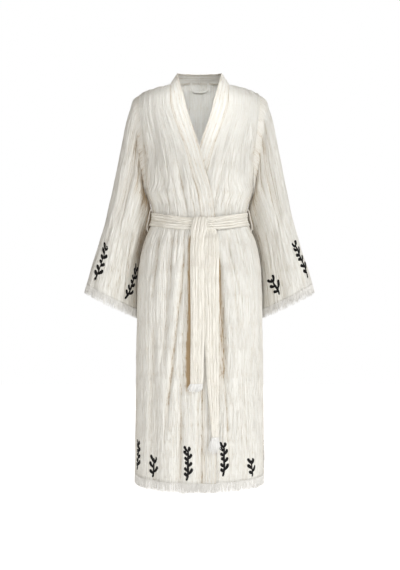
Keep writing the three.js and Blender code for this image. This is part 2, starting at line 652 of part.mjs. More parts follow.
// The hanging loop inside the back of the neck
const HANG = [
  { x: -24.5, y: 68.5, z: 29 },
  { x: -25, y: 73, z: 18.5 },
  { x: -21, y: 74.5, z: 8.5 },
  { x: -12, y: 75.2, z: 4.5 },
  { x: 0, y: 75.4, z: 3.5 },
  { x: 12, y: 75.2, z: 4.5 },
  { x: 21, y: 74.5, z: 8.5 },
  { x: 25, y: 73, z: 18.5 },
  { x: 24.5, y: 68.5, z: 29 },
];
meshOf(rod(cordRings(HANG.map((r) => new THREE.Vector3(r.x, r.y, r.z)), 7, 1.4, 4, new THREE.Vector3(0, 1, 0))), "hanging_loop", CREAM, 0.9);

export default root;
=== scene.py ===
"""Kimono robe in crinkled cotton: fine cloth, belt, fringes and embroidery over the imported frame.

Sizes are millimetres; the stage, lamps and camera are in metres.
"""

import math

import bpy
import numpy as np
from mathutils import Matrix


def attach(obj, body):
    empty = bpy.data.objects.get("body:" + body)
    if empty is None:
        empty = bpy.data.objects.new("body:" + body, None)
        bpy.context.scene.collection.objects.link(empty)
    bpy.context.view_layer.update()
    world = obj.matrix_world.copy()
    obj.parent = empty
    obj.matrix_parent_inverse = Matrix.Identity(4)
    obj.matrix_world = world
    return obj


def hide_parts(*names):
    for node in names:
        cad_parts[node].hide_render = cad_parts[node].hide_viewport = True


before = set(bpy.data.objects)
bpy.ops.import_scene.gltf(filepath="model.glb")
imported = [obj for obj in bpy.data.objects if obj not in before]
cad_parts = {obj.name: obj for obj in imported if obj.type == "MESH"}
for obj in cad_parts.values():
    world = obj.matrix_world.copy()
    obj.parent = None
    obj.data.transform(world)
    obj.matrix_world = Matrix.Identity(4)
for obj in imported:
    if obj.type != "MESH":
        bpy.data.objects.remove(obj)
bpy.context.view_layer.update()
MM = 0.001


def table(names, rows):
    return dict(zip(names.split(), np.array(rows, float).T))


# ---- the robe's shape, as in the part's source
CLOTH, FACED, SEAM = 1.6, 2.6, 0.4
HEM_Z, CAP_Z, HIP_Z, SKIRT_ROUND = -1095, -70, -400, 0.8
UNDER, RIDGE_Y, NECK_X, NECK_BACK_Y, NECK_BACK_Z = 7.5, 5, 83, 80, 28.5
COLLAR_X, COLLAR_Y, COLLAR_Z, COLLAR_RISE = 62, 52, 36, 12.5
SHOULDER_X, SHOULDER_Z, UNDERARM_Z = 172, -27, -315
SIDE_Y = 0.24  # least depth of a body panel, half the gap at the side seam
AT_BELT = (-395, -345)  # a fold whose lower end lies here runs in under the belt
SIDES = ((-1, "right"), (1, "left"))
BELT_Z, BELT_HEIGHT, BELT_OUT, SLEEVE_BACK, LOOP_Y = -384, 36, 4.2, 50, -20
BODY = table("z w f b", [
    (0, 192, 64, 80), (-60, 192, 79, 88), (-100, 190, 92, 97), (-170, 182, 106, 104),
    (-230, 172, 112, 104), (-311, 150, 108, 99), (-345, 136, 101, 94), (-377, 132, 97, 91),
    (-405, 141, 100, 97), (-448, 158.5, 107, 108), (-496, 169.6, 114, 116), (-550, 174, 119, 122),
    (-610, 176, 119, 127), (-680, 176.8, 122, 131), (-1020, 180.8, 129, 141), (-1100, 182, 131, 143)])
ARMHOLE = table("z deg", [(CAP_Z, 60.6), (-112, 59.9), (-176, 59.1), (-215, 60.2), (-250, 63), (-285, 70),
                          (UNDERARM_Z, 90)])
OPENING = table("z seam lead lift", [
    (CAP_Z, -79, -38, 23), (-89, -75.4, -33.7, 18), (-136, -60.1, -18.7, 12.5), (-192, -40.1, 0, 10),
    (-274, -18.5, 22, 9), (-323, -4, 36.1, 8), (-384, 3.9, 43.8, 3), (-462, 9.8, 48.8, 0), (HEM_Z, 7.7, 44.1, 0)])
STAND = [(-62, 0, 36), (-60.7, -24, 25), (-56.4, -47, 4), (-49.3, -65, -26), (-40.3, -77, -56)]
SHOULDER = table("x z", [(83, 0), (110, -4.5), (135, -11), (SHOULDER_X, SHOULDER_Z)])
LEVELS = [CAP_Z, -105, -140, -175, -215, -250, -285, -315, -342, -364, -384, -404,
          -424, -458, -500, -560, -640, -740, -850, -970, HEM_Z]
# Troughs: x and z at each end, depth, half width
FRONT_FOLDS = [
    (-122, -299, -103, -370, 3.5, 12), (-114, -238, -78, -374, 5, 15), (-65, -221, -30, -384, 4.5, 13),
    (96, -283, 74, -378, 4, 13), (72, -221, 41, -362, 4.5, 13), (-126, -92, -120, -252, 6, 20),
    (126, -92, 118, -262, 6, 20), (-107, -403, -136, -566, 5, 14), (-81, -406, -102, -823, 7, 16),
    (-39, -415, -60, -1130, 6, 18), (4, -442, 2, -1130, 6, 13), (61, -421, 64, -901, 7, 13),
    (77, -410, 114, -705, 6, 14), (111, -403, 138, -546, 4.5, 13), (-126, -626, -125, -1130, 6, 20),
    (125, -705, 118, -1130, 6, 20)]
BACK_FOLDS = [
    (-128, -90, -112, -250, 6, 20), (126, -90, 114, -260, 6, 20), (-84, -200, -62, -370, 5, 16),
    (-22, -180, -18, -366, 4, 15), (34, -230, 26, -366, 4.5, 15), (92, -210, 70, -366, 5, 16),
    (-96, -396, -128, -760, 7, 17), (-52, -396, -72, -1130, 8, 19), (-10, -396, -16, -900, 7, 17),
    (30, -396, 44, -1130, 8, 19), (74, -396, 100, -820, 7, 17), (106, -396, 138, -1130, 6, 19),
    (-118, -700, -124, -1130, 6, 19)]
SLEEVE = table("ox oz ix iz half y", [
    (172, -27, 150, -315, 46, 2), (187, -40, 151.5, -323, 52, 2), (195.5, -68, 149, -336, 56, 1),
    (205.5, -102, 142.5, -353, 59, 0), (217, -158, 136, -380, 60, -1), (228, -213, 144, -408, 61, -2),
    (240, -275, 154, -436, 61, -3), (253, -335, 163.5, -466, 60, -4), (265.5, -390, 170, -496, 58, -4),
    (278.5, -436, 174, -530, 56, -4), (291, -478, 176.5, -566, 54, -4), (305.5, -518, 178, -602, 53, -4),
    (318, -564, 179, -638, 52, -4)])
SLEEVE["k"] = np.arange(13.0)
# A sleeve's troughs: share of its length and angle round it at each end, depth, half width in degrees
SLEEVE_FOLDS = [(0.02, 78, 0.75, 62, 12, 22), (0.04, 122, 0.6, 128, 7, 20), (0.45, 100, 1.2, 104, 7, 20),
                (0.02, 284, 0.75, 300, 10, 22), (0.35, 240, 1.2, 246, 7, 22)]
TAIL_RIGHT = table("z x wide off", [
    (-423, -1, 28.3, 12), (-437.6, -4.9, 35.1, 9), (-482.1, -6.8, 36, 7.5), (-570.5, -5.8, 35.9, 7.5),
    (-668.1, -4.9, 34.9, 7.5), (-745.8, -5.8, 34.9, 7.5), (-804, -6.8, 33.9, 8), (-829.2, -7.8, 32, 8)])
TAIL_LEFT = table("z x wide off", [
    (-417.7, 32.2, 24.4, 10), (-442.5, 34.1, 36.1, 8), (-492, 33.1, 37, 7.5), (-570.5, 32.1, 37.9, 7.5),
    (-687.5, 32, 35.9, 7.5), (-804, 34.9, 31, 7.5), (-900.9, 38.7, 23.2, 7.5), (-970.6, 41.6, 16.5, 8)])

# Sharper creases, shown only here: x and z at each end, depth, half width
FRONT_CREASES = [
    (-100, -352, -122, -306, 2.4, 5), (-77, -370, -112, -236, 3.2, 5), (-30, -383, -62, -226, 3.4, 4.5),
    (-8, -384, -30, -292, 2.2, 4), (-52, -378, -76, -262, 2.4, 5), (72, -370, 82, -285, 2.6, 4),
    (43, -350, 70, -222, 2.8, 4.5), (12, -384, 24, -300, 1.8, 4), (56, -372, 84, -250, 2, 5),
    (-110, -405, -131, -620, 5, 7), (-76, -400, -79, -600, 4, 6), (-33, -402, -98, -1000, 6.5, 9.5),
    (-56, -400, -66, -520, 2.6, 4),
    (50, -450, 79, -860, 6, 10), (73, -402, 118, -620, 4.5, 4.5), (98, -402, 122, -520, 2.4, 4),
    (-4, -850, -7, -1085, 3, 5), (13, -850, 12, -1085, 3, 5), (70, -800, 84, -1085, 3.5, 6),
    (-126, -640, -138, -1000, 3, 9),
    (-48, -880, -52, -1090, 3, 6), (20, -470, 17, -1130, 1.6, 5)]
BACK_CREASES = [
    (x, BELT_Z, x * 1.35, BELT_Z - 150 - 40 * math.sin(x), 2.6, 5)
    for x in (-112, -86, -64, -38, -14, 8, 30, 54, 78, 104)] + [
    (x, -368, x * 1.25, -368 + 90 + 30 * math.sin(x), 2.2, 5)
    for x in (-100, -74, -44, -20, 4, 36, 62, 96)]
SLEEVE_CREASES = [
    (0.03, 100, 0.5, 92, 4, 6), (0.05, 62, 0.42, 50, 3, 6), (0.3, 76, 0.98, 84, 3.2, 7), (0.5, 118, 1.2, 126, 3, 7),
    (0.55, 50, 1.2, 46, 2.6, 7), (0.1, 140, 0.5, 146, 3, 7), (0.08, 262, 0.6, 268, 4, 7), (0.3, 222, 1.2, 216, 3, 7),
    (0.4, 300, 1.2, 306, 3, 7), (0.5, 262, 1.2, 274, 3, 7)]


def mix(a, b, t):
    return a + (b - a) * t


def ease(t):
    k = np.clip(t, 0, 1)
    return k * k * (3 - 2 * k)


def points_at(x, y, z):
    return np.stack(np.broadcast_arrays(x, y, z), -1)


def along(rows, at, column, key="z"):
    """The value of a column at a key, by a cubic that keeps to the rows."""
    k, v = rows[key], rows[column]
    way = 1 if k[-1] > k[0] else -1
    k, q = k * way, np.asarray(at, float) * way
    q = np.clip(q, k[0], k[-1])
    d = np.diff(v) / np.diff(k)
    m = np.concatenate([[d[0]], np.zeros(len(v) - 2), [d[-1]]])
    same = d[:-1] * d[1:] > 0
    total = np.where(same, d[:-1] + d[1:], 1)
    m[1:-1] = np.where(same, 2 * d[:-1] * d[1:] / total, 0)
    i = np.clip(np.searchsorted(k, q, side="right") - 1, 0, len(k) - 2)
    h = k[i + 1] - k[i]
    t = (q - k[i]) / h
    return ((2 * t**3 - 3 * t**2 + 1) * v[i] + (t**3 - 2 * t**2 + t) * h * m[i]
            + (3 * t**2 - 2 * t**3) * v[i + 1] + (t**3 - t**2) * h * m[i + 1])


def trough(folds, x, z):
    """Depth of a table's troughs at a place."""
    deep = np.zeros(np.broadcast(x, z).shape)
    for x0, z0, x1, z1, depth, wide in folds:
        t = (z - z0) / (z1 - z0)
        off = (x - mix(x0, x1, t)) / wide
        end = ease(t / 0.25) * (1 if z1 < HEM_Z else ease((1 - t) / 0.25))
        if AT_BELT[0] < z1 < AT_BELT[1]:
            end = ease(t / 0.4)
        deep += np.where((t > 0) & (t < 1), depth * end * np.exp(-2 * off * off), 0)
    return deep


LATTICE = np.random.RandomState(7).rand(8, 257, 257)


def noise(u, v, seed):
    """Smooth noise from 0 to 1 on a fixed lattice."""
    lat = LATTICE[seed % len(LATTICE)]
    u, v = np.asarray(u) + seed * 17.3, np.asarray(v) + seed * 9.7
    i, j = np.floor(u).astype(int), np.floor(v).astype(int)
    a, b = ease(u - i), ease(v - j)
    at = lambda p, q: lat[p % len(lat), q % len(lat)]
    return mix(mix(at(i, j), at(i + 1, j), a), mix(at(i, j + 1), at(i + 1, j + 1), a), b)


def crinkle(u, v, seed, rough=1.0):
    """Height of the gauze's crinkle: fine creases along v, uneven and broken."""
    sway = u + 5 * noise(u / 40, v / 90, seed + 1) + 0.7 * noise(u / 14, v / 22, seed + 5)
    ridge = lambda f: 1 - np.abs(2 * f - 1)
    fine = ridge(noise(sway / 4.4, v / 75, seed)) * 1.15 + ridge(noise(sway / 8, v / 80, seed + 2)) * 0.8
    knots = noise(u / 6, v / 9, seed + 6) * 0.35
    broad = noise(sway / 19, v / 150, seed + 3) * 1.7
    patch = 0.55 + 0.9 * noise(u / 60, v / 80, seed + 4)
    return rough * ((fine - 0.9 + knots - 0.18) * patch + broad - 0.85)


def unit(v):
    return v / np.maximum(np.linalg.norm(v, axis=-1, keepdims=True), 1e-9)


def gathers(deg, z):
    """Depth of the small pleats that run out from under the belt."""
    off = z - BELT_Z
    reach = np.where(off < 0, 0.8 + 2.4 * ease(1 + off / 230), 2.2 * ease(1 - off / 150))
    sway = deg / 4.2 + 0.5 * noise(deg / 9, z / 70, 6)
    groove = 1 - np.abs(2 * noise(sway, z / 190, 3) - 1)
    return reach * groove ** 2.5


def on_body(deg, z, back, inside=0.0, creases=True):
    """A point of a body panel at an angle from the centre line and a height, pushed in by its folds."""
    z = np.asarray(z, float)
    w, d = along(BODY, z, "w"), along(BODY, z, "b" if back else "f")
    a = np.radians(deg)
    c = np.maximum(np.cos(a), 0)
    x = w * np.sin(a)
    y = (1 if back else -1) * np.maximum(SIDE_Y, d * c ** mix(1, SKIRT_ROUND, ease((HIP_Z - z) / 200)))
    n = unit(points_at(x / w**2, y / d**2, 0 * z))
    folds, sharp = (BACK_FOLDS, BACK_CREASES) if back else (FRONT_FOLDS, FRONT_CREASES)
    if creases:
        folds = folds + sharp
    deep = inside + ease((np.abs(np.cos(a)) - 0.05) / 0.25) * trough(folds, x, z)
    if creases:
        deep = deep + gathers(deg, z)
    return points_at(x, y, z) - n * np.asarray(deep)[..., None]


def deg_at(x, z):
    return np.degrees(np.arcsin(np.clip(x / along(BODY, z, "w"), -1, 1)))


def tucked(x, z):
    """How far inside the upper front the under front lies."""
    return UNDER * ease((125 - x) / 62) * ease((CAP_Z - z) / 95)


def turned(base, top, share):
    """The turn from chest or back over to the shoulder or neck seam."""
    a = np.radians(share * 90)
    t = points_at(share, 1 - np.cos(a), np.sin(a))
    return base + (top - base) * t


def shoulder_at(x, side, y):
    return points_at(side * x, y, along(SHOULDER, x, "z", "x"))


def neck_seam(share, side):
    a = np.radians(share * 90)
    return points_at(side * NECK_X * np.cos(a), RIDGE_Y + (NECK_BACK_Y - RIDGE_Y) * np.sin(a), NECK_BACK_Z * np.sin(a))


def neck_top(share, side):
    a = np.radians(share * 90)
    return points_at(side * COLLAR_X * np.cos(a), COLLAR_Y * np.sin(a), COLLAR_Z + COLLAR_RISE * np.sin(a))


def side_edge(z):
    return np.where(z > UNDERARM_Z, along(ARMHOLE, z, "deg"), 90)


def front_point(side, share, z):
    seam = deg_at(-along(OPENING, z, "seam"), z)
    deg = side * mix(side_edge(z), seam, share)
    p = on_body(deg, z, False)
    return on_body(deg, z, False, tucked(p[..., 0], z)) if side > 0 else p


CAP_STEPS = np.linspace(1, 0, 17)[:-1]
DOWN = np.concatenate([np.linspace(CAP_Z, -330, 46)[:-1], np.linspace(-330, -470, 36)[:-1],
                       np.linspace(-470, HEM_Z, 76)])
ON_SHOULDER, ON_NECK = 7, 9  # parts of half the back's top edge


def front_grid(side, columns):
    t = np.linspace(0, 1, columns + 1)
    top = shoulder_at(mix(SHOULDER_X, NECK_X, t), side, RIDGE_Y - SEAM / 2)
    base = front_point(side, t, np.full_like(t, CAP_Z))
    cap = turned(base[None], top[None], CAP_STEPS[:, None])
    return np.concatenate([cap, front_point(side, t[None, :], DOWN[:, None])])


def back_grid(columns):
    c = np.linspace(-1, 1, columns + 1)
    k = (1 - np.abs(c)) * (ON_SHOULDER + ON_NECK)
    side = np.where(c <= 0, -1, 1)
    shoulder = shoulder_at(mix(SHOULDER_X, NECK_X, np.minimum(k, ON_SHOULDER) / ON_SHOULDER), side, RIDGE_Y + SEAM / 2)
    neck = neck_seam(np.clip((k - ON_SHOULDER) / ON_NECK, 0, 1), side)
    top = np.where((k <= ON_SHOULDER)[:, None], shoulder, neck)
    base = on_body(c * side_edge(np.float64(CAP_Z)), np.full_like(c, CAP_Z), True)
    cap = turned(base[None], top[None], CAP_STEPS[:, None])
    return np.concatenate([cap, on_body(c[None, :] * side_edge(DOWN)[:, None], DOWN[:, None], True)])


def run_of(points):
    """Distance along a line from its first point."""
    return np.concatenate([[0], np.cumsum(np.linalg.norm(np.diff(points, axis=0), axis=1))])


# ---- meshes
def cells_of(n, m, closed):
    """Row, column and next column of each cell of an n by m grid, and its four corners."""
    I, J = (g.ravel() for g in np.meshgrid(np.arange(n - 1), np.arange(m if closed else m - 1), indexing="ij"))
    K = (J + 1) % m
    return I, J, K, np.stack([I * m + J, I * m + K, (I + 1) * m + K, (I + 1) * m + J], -1)


def build(name, verts, polys, uvs, painted_shade=None):
    """A mesh object from points in millimetres and lists of same-sided polygons, with loop UVs in the same order and
    an optional painted shade per point.
    """
    me = bpy.data.meshes.new(name)
    me.vertices.add(len(verts))
    me.vertices.foreach_set("co", (verts * MM).astype(np.float32).ravel())
    loops = np.concatenate([p.ravel() for p in polys]).astype(np.int32)
    sizes = np.concatenate([np.full(len(p), p.shape[1]) for p in polys])
    me.loops.add(len(loops))
    me.loops.foreach_set("vertex_index", loops)
    me.polygons.add(len(sizes))
    me.polygons.foreach_set("loop_start", np.concatenate([[0], np.cumsum(sizes)[:-1]]).astype(np.int32))
    me.polygons.foreach_set("use_smooth", np.ones(len(sizes), bool))
    me.update(calc_edges=True)
    layer = me.uv_layers.new(name="cloth")
    layer.data.foreach_set("uv", np.concatenate([u.reshape(-1, 2) for u in uvs]).astype(np.float32).ravel())
    if painted_shade is not None:
        att = me.attributes.new("painted_shade", "FLOAT", "POINT")
        att.data.foreach_set("value", painted_shade.astype(np.float32))
    me.validate()
    o = bpy.data.objects.new(name, me)
    bpy.context.scene.collection.objects.link(o)
    return o


def normals_of(P, round_=False):
    if round_:
        du = np.roll(P, -1, 1) - np.roll(P, 1, 1)
    else:
        du = np.gradient(P, axis=1)
    return unit(np.cross(du, np.gradient(P, axis=0)))


def spans(P, axis):
    """Distance along a grid's rows or columns, in millimetres."""
    d = np.linalg.norm(np.diff(P, axis=axis), axis=-1)
    zero = np.zeros_like(P[:1, :, 0] if axis == 0 else P[:, :1, 0])
    return np.cumsum(np.concatenate([zero, d], axis=axis), axis=axis)


def sunk(P, N, reach, round_):
    """How far each point lies below the mean of its neighbours across the cloth."""
    ends = P[:, -reach:], P[:, :reach]
    if not round_:
        ends = np.repeat(P[:, :1], reach, 1), np.repeat(P[:, -1:], reach, 1)
    total = np.cumsum(np.concatenate([0 * P[:, :1], ends[0], P, ends[1]], 1), 1)
    mean = (total[:, 2 * reach + 1:] - total[:, :-2 * reach - 1]) / (2 * reach + 1)
    return np.sum((mean - P) * N, -1)


def painted_side_shade(P, reach):
    """Painted shade where sleeve and body meet: nearness of a point to the line between them, from 0 to 1, stronger on
    the side away from the key lamp (x < 0).
    """
    x, z = P[..., 0], P[..., 2]
    edge = along(BODY, z, "w") * np.sin(np.radians(side_edge(z)))
    shade = np.where(x < 0, 1, 0.7) * ease((-110 - z) / 90) * (1 - 0.5 * ease((-430 - z) / 120))
    return shade * np.exp(-((np.abs(x) - edge) / reach) ** 2)


def painted_tail_shadow(P):
    """Painted shadow of the hanging sash ends: nearness to their edges, where the cloth behind them lies in their
    shade.
    """
    x, z = P[..., 0], P[..., 2]
    low = ease((-425 - z) / 420)
    edge = lambda rows, side: along(rows, z, "x") + side * along(rows, z, "wide") / 2
    near = lambda off, wide: np.exp(-(off / wide) ** 2)
    first = near(x - edge(TAIL_RIGHT, -1) + 1 + 3 * low, 5 + 6 * low) * ease((z + 865) / 30)
    between = (1.2 * near(x - edge(TAIL_LEFT, -1) + 5, 5.5 + 4 * low)
               * ease((-520 - z) / 60) * ease((z + 1010) / 60))
    last = (0.4 * near(x - edge(TAIL_LEFT, 1) - 2, 5 + 9 * low)
            * ease((-450 - z) / 80) * ease((z + 960) / 200))
    return ease((-425 - z) / 20) * (1.05 * first + 0.8 * between + last)


NEARBY, WIDER = 2, 9  # columns over which a hollow is measured
SHADE_MOST = 0.38


class Cloth:
    """A fine grid with its outward normals and a painted shade per point, which carries a wall, embroidery and
    stitches.

    At row and column the cloth faces the back or the front, which tells its outer side.
    """

    def __init__(self, P, row, column, back=False, round_=False, seed=1, rough=1.0,
                 ease_edges=None, grain=None):
        self.round = round_
        N = normals_of(P, round_)
        self.sign = 1 if (N[row, column, 1] > 0) == back else -1
        U, V = spans(P, 1), spans(P, 0)
        if grain is not None:
            U = np.broadcast_to(grain, U.shape)
        lift = crinkle(U, V, seed, rough)
        if ease_edges is not None:
            lift = lift * ease_edges
        if round_:  # fade the crinkle's seam round the tube
            m = P.shape[1]
            lift = lift * ease(np.minimum(np.arange(m), m - np.arange(m)) / 8)
        self.P, self.U, self.V = P + N * (self.sign * lift)[..., None], U, V
        self.N = normals_of(self.P, round_) * self.sign
        # Painted shade: the colour darkens where the cloth lies below its neighbours, in its creases and hollows, up
        # to SHADE_MOST.
        near, wide = (sunk(self.P, self.N, reach, round_) for reach in (NEARBY, WIDER))
        self.painted_shade = np.clip(0.1 + 0.3 * near + 0.045 * wide, 0, SHADE_MOST)

    def wall(self, name, thick):
        """A closed wall: outer face, inner face and rims."""
        n, m = self.P.shape[:2]
        verts = np.concatenate([(self.P + self.N * s * thick / 2).reshape(-1, 3) for s in (1, -1)])
        I, J, K, q = cells_of(n, m, self.round)
        U = np.concatenate([self.U, 2 * self.U[:, -1:] - self.U[:, -2:-1]], 1)
        corners = ((I, J, J), (I, J + 1, K), (I + 1, J + 1, K), (I + 1, J, J))
        uv = np.stack([np.stack([U[i, j], self.V[i, k]], -1) for i, j, k in corners], 1) * MM
        if self.sign < 0:
            q, uv = q[:, ::-1], uv[:, ::-1]
        polys, uvs = [q, (q + n * m)[:, ::-1]], [uv, uv[:, ::-1]]
        j = np.arange(m if self.round else m - 1)
        edges = [(j, (j + 1) % m, True), ((n - 1) * m + j, (n - 1) * m + (j + 1) % m, False)]
        if not self.round:
            i = np.arange(n - 1) * m
            edges += [(i, i + m, False), (i + m - 1, i + 2 * m - 1, True)]
        rims = []
        for a, b, flip in edges:
            quads = np.stack([a, b, b + n * m, a + n * m], -1)
            rims.append(quads if flip ^ (self.sign < 0) else quads[:, ::-1])
        rims = np.concatenate(rims)
        polys.append(rims)
        twice = lambda G: np.concatenate([G.ravel()] * 2)
        uvs.append(np.stack([twice(self.U)[rims], twice(self.V)[rims]], -1) * MM)
        return build(name, verts, polys, uvs, np.clip(twice(self.painted_shade), 0, 1))

    def at(self, i, j, high=0.0):
        """A point on the outer face at fractional grid places."""
        n, m = self.P.shape[:2]
        i = np.clip(i, 0, n - 1.001)
        j = np.mod(j, m) if self.round else np.clip(j, 0, m - 1.001)
        a, b = np.floor(i).astype(int), np.floor(j).astype(int)
        s, t = (i - a)[..., None], (j - b)[..., None]
        c = (b + 1) % m if self.round else np.minimum(b + 1, m - 1)
        pick = lambda G: mix(mix(G[a, b], G[a, c], t), mix(G[a + 1, b], G[a + 1, c], t), s)
        return pick(self.P) + unit(pick(self.N)) * np.asarray(high)[..., None]

    def find(self, x, z, front=True):
        """The grid place seen at x, z from the front or the back."""
        d = (self.P[..., 0] - x) ** 2 + (self.P[..., 2] - z) ** 2
        seen = self.N[..., 1] < 0.15 if front else self.N[..., 1] > -0.15
        d = d + np.where(seen, 0, 1e6)
        return np.unravel_index(np.argmin(d), d.shape)

    def steps(self, i, j):
        """Grid steps for one millimetre down and across at a place."""
        n, m = self.P.shape[:2]
        i = int(np.clip(i, 5, n - 6))
        j = int(j % m) if self.round else int(np.clip(j, 5, m - 6))
        down = np.linalg.norm(self.P[i + 5, j] - self.P[i - 5, j]) / 10
        over = np.linalg.norm(self.P[i, (j + 5) % m] - self.P[i, (j - 5) % m]) / 10
        return 1 / down, 1 / over


def keep(obj, material, slot, *nodes):
    obj.data.materials.append(material)
    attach(obj, "root")
    if nodes:
        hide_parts(*nodes)
    return obj


# ---- materials
def sets(node, **values):
    """Sets a node's own sockets; an underscore stands for a space."""
    for key, value in values.items():
        node.inputs[key.replace("_", " ")].default_value = value


WEAVE = 0.00075


def material(name, base, painted_half_shade, deep=(0.42, 0.3, 0.17), bump=0.85, sheen=0.2, gather=1.0):
    """Gauze: a colour ramp from the base colour through a painted half shade to a painted deep shade, driven by the
    per-point painted shade and by painted shade along the bump's crease lines, with slub tone, under a bump of puckers
    and threads.
    """
    m = bpy.data.materials.new(name)
    m.use_nodes = True
    t, n = m.node_tree, m.node_tree.nodes
    link = t.links.new
    bsdf = n["Principled BSDF"]
    sets(bsdf, Roughness=0.92, Specular_IOR_Level=0.15, Sheen_Weight=sheen, Sheen_Roughness=0.6)
    uv = n.new("ShaderNodeUVMap")
    uv.uv_map = "cloth"

    def scaled(x, y):
        s = n.new("ShaderNodeMapping")
        sets(s, Scale=(x, y, 1))
        link(uv.outputs["UV"], s.inputs["Vector"])
        return s.outputs["Vector"]

    def noisy(vector, detail):
        s = n.new("ShaderNodeTexNoise")
        sets(s, Scale=1, Detail=detail)
        link(vector, s.inputs["Vector"])
        return s.outputs["Fac"]

    def maths(kind, a, b):
        s = n.new("ShaderNodeMath")
        s.operation = kind
        for socket, value in zip(s.inputs, (a, b)):
            if isinstance(value, (int, float)):
                socket.default_value = value
            else:
                link(value, socket)
        return s.outputs[0]

    plus, times = (lambda a, b, kind=kind: maths(kind, a, b) for kind in ("ADD", "MULTIPLY"))

    def lines(x, width):
        """1 on the thin lines where a noise passes its middle, 0 away from them."""
        s = n.new("ShaderNodeMapRange")
        s.interpolation_type = "SMOOTHSTEP"
        sets(s, From_Min=0, From_Max=width, To_Min=1, To_Max=0)
        link(maths("ABSOLUTE", maths("SUBTRACT", x, 0.5), 0), s.inputs["Value"])
        return s.outputs["Result"]

    streak = noisy(scaled(210 * gather, 14), 3)
    fold = noisy(scaled(80 * gather, 5), 2)
    pucker = noisy(scaled(230, 170), 2)
    slub = noisy(scaled(40, 700), 2)
    fine, broad = lines(streak, 0.05), lines(fold, 0.035)
    warp, weft = n.new("ShaderNodeTexWave"), n.new("ShaderNodeTexWave")
    for wave, axis in ((warp, "X"), (weft, "Y")):
        wave.bands_direction = axis
        sets(wave, Scale=1 / WEAVE / 20, Distortion=1.2, Detail=1)
        link(uv.outputs["UV"], wave.inputs["Vector"])
    threads = plus(warp.outputs["Fac"], weft.outputs["Fac"])
    high = plus(plus(streak, times(pucker, 0.4)), times(threads, 0.08))
    high = maths("SUBTRACT", high, plus(times(fine, 0.25), times(broad, 0.3)))
    relief = n.new("ShaderNodeBump")
    sets(relief, Strength=bump, Distance=0.003)
    link(high, relief.inputs["Height"])
    link(relief.outputs["Normal"], bsdf.inputs["Normal"])
    # The per-point painted shade from the cloth's hollows, seams and neighbours.
    painted_shade = n.new("ShaderNodeAttribute")
    painted_shade.attribute_name = "painted_shade"
    # Painted shade along the bump's crease lines.
    painted_crease_shade = plus(times(times(fine, pucker), 0.6), times(broad, 0.12))
    # Painted crease shade, random slub tone and the per-point painted shade together.
    shade_and_slub = plus(plus(painted_crease_shade, times(slub, 0.12)), painted_shade.outputs["Fac"])
    # Above the base colour the ramp paints shade: its stops are the painted half shade and the painted deep shade
    # (deep).
    ramp = n.new("ShaderNodeValToRGB")
    stops = ramp.color_ramp.elements
    stops[0].position, stops[1].position = 0.12, 1.1
    middle = stops.new(0.6)
    stops[0].color, middle.color, stops[-1].color = (*base, 1), (*painted_half_shade, 1), (*deep, 1)
    link(shade_and_slub, ramp.inputs["Fac"])
    link(ramp.outputs["Color"], bsdf.inputs["Base Color"])
    return m


# CREAM is the cloth's own colour; the second colour of each material below is its painted half shade.
CREAM, PAINTED_HALF_SHADE = (0.84, 0.835, 0.793), (0.75, 0.715, 0.64)
cloth = material("cloth", CREAM, PAINTED_HALF_SHADE)
band = material("band", CREAM, (0.75, 0.705, 0.62), gather=1.2)
sash = material("belt", (0.89, 0.868, 0.8), (0.81, 0.765, 0.67), gather=1.0)
fluff = material("fringe", (0.85, 0.84, 0.81), (0.76, 0.745, 0.705), bump=0.1)
white = material("tassel", (0.95, 0.95, 0.935), (0.9, 0.895, 0.87), bump=0.1, sheen=0.5)
thread = material("thread", (0.74, 0.71, 0.65), (0.64, 0.6, 0.53), bump=0.2)
ink = bpy.data.materials.new("embroidery")
ink.use_nodes = True
nodes, link = ink.node_tree.nodes, ink.node_tree.links.new
shader, uv_map, twist = nodes["Principled BSDF"], nodes.new("ShaderNodeUVMap"), nodes.new("ShaderNodeTexWave")
tones, relief = nodes.new("ShaderNodeValToRGB"), nodes.new("ShaderNodeBump")
uv_map.uv_map = "cloth"
twist.bands_direction = "DIAGONAL"
sets(shader, Roughness=0.6, Specular_IOR_Level=0.15)
sets(twist, Scale=110, Distortion=0.8)
sets(relief, Strength=0.5, Distance=0.0004)
for stop, colour in zip(tones.color_ramp.elements, ((0.004, 0.004, 0.004, 1), (0.012, 0.011, 0.011, 1))):
    stop.color = colour
link(uv_map.outputs["UV"], twist.inputs["Vector"])
link(twist.outputs["Fac"], tones.inputs["Fac"])
link(twist.outputs["Fac"], relief.inputs["Height"])
link(tones.outputs["Color"], shader.inputs["Base Color"])
link(relief.outputs["Normal"], shader.inputs["Normal"])

# ---- body panels
BACK_COLUMNS, FRONT_COLUMNS = 280, 160
ROUGH = 1.15 + 0.3 * ease((np.concatenate([0 * CAP_STEPS, DOWN]) + 430) / 80)[:, None]  # more above the waist
# Painted shade along the band's seam, by nearness to it.
PAINTED_SEAM_SHADE = np.exp(-(np.arange(FRONT_COLUMNS, -1, -1) / 1.6) ** 2)  # nearness to the band's seam
cloths = {"back": Cloth(back_grid(BACK_COLUMNS), 90, BACK_COLUMNS // 2, back=True, seed=1,
                        grain=np.linspace(0, 480, BACK_COLUMNS + 1))}
for side, word in SIDES:
    cloths["front_" + word] = Cloth(
        front_grid(side, FRONT_COLUMNS), 90, FRONT_COLUMNS // 2, seed=2 + side, rough=ROUGH,
        grain=np.linspace(0, 235, FRONT_COLUMNS + 1))
for name, c in cloths.items():
    # Painted shade where sleeve and body meet.
    c.painted_shade = c.painted_shade + 0.42 * painted_side_shade(c.P, 11)
    if name != "back":
        # Painted shadow beside the sash ends, painted shade in the sharp creases and painted shade along the band's
        # seam.
        c.painted_shade += painted_tail_shadow(c.P) + 0.03 * trough(FRONT_CREASES, c.P[..., 0], c.P[..., 2]) + 0.2 * PAINTED_SEAM_SHADE
    keep(c.wall(name + "_cloth", CLOTH), cloth, "cloth", name)


# ---- neckband
RIDGE = 0.55  # height of the band's lengthwise ridges


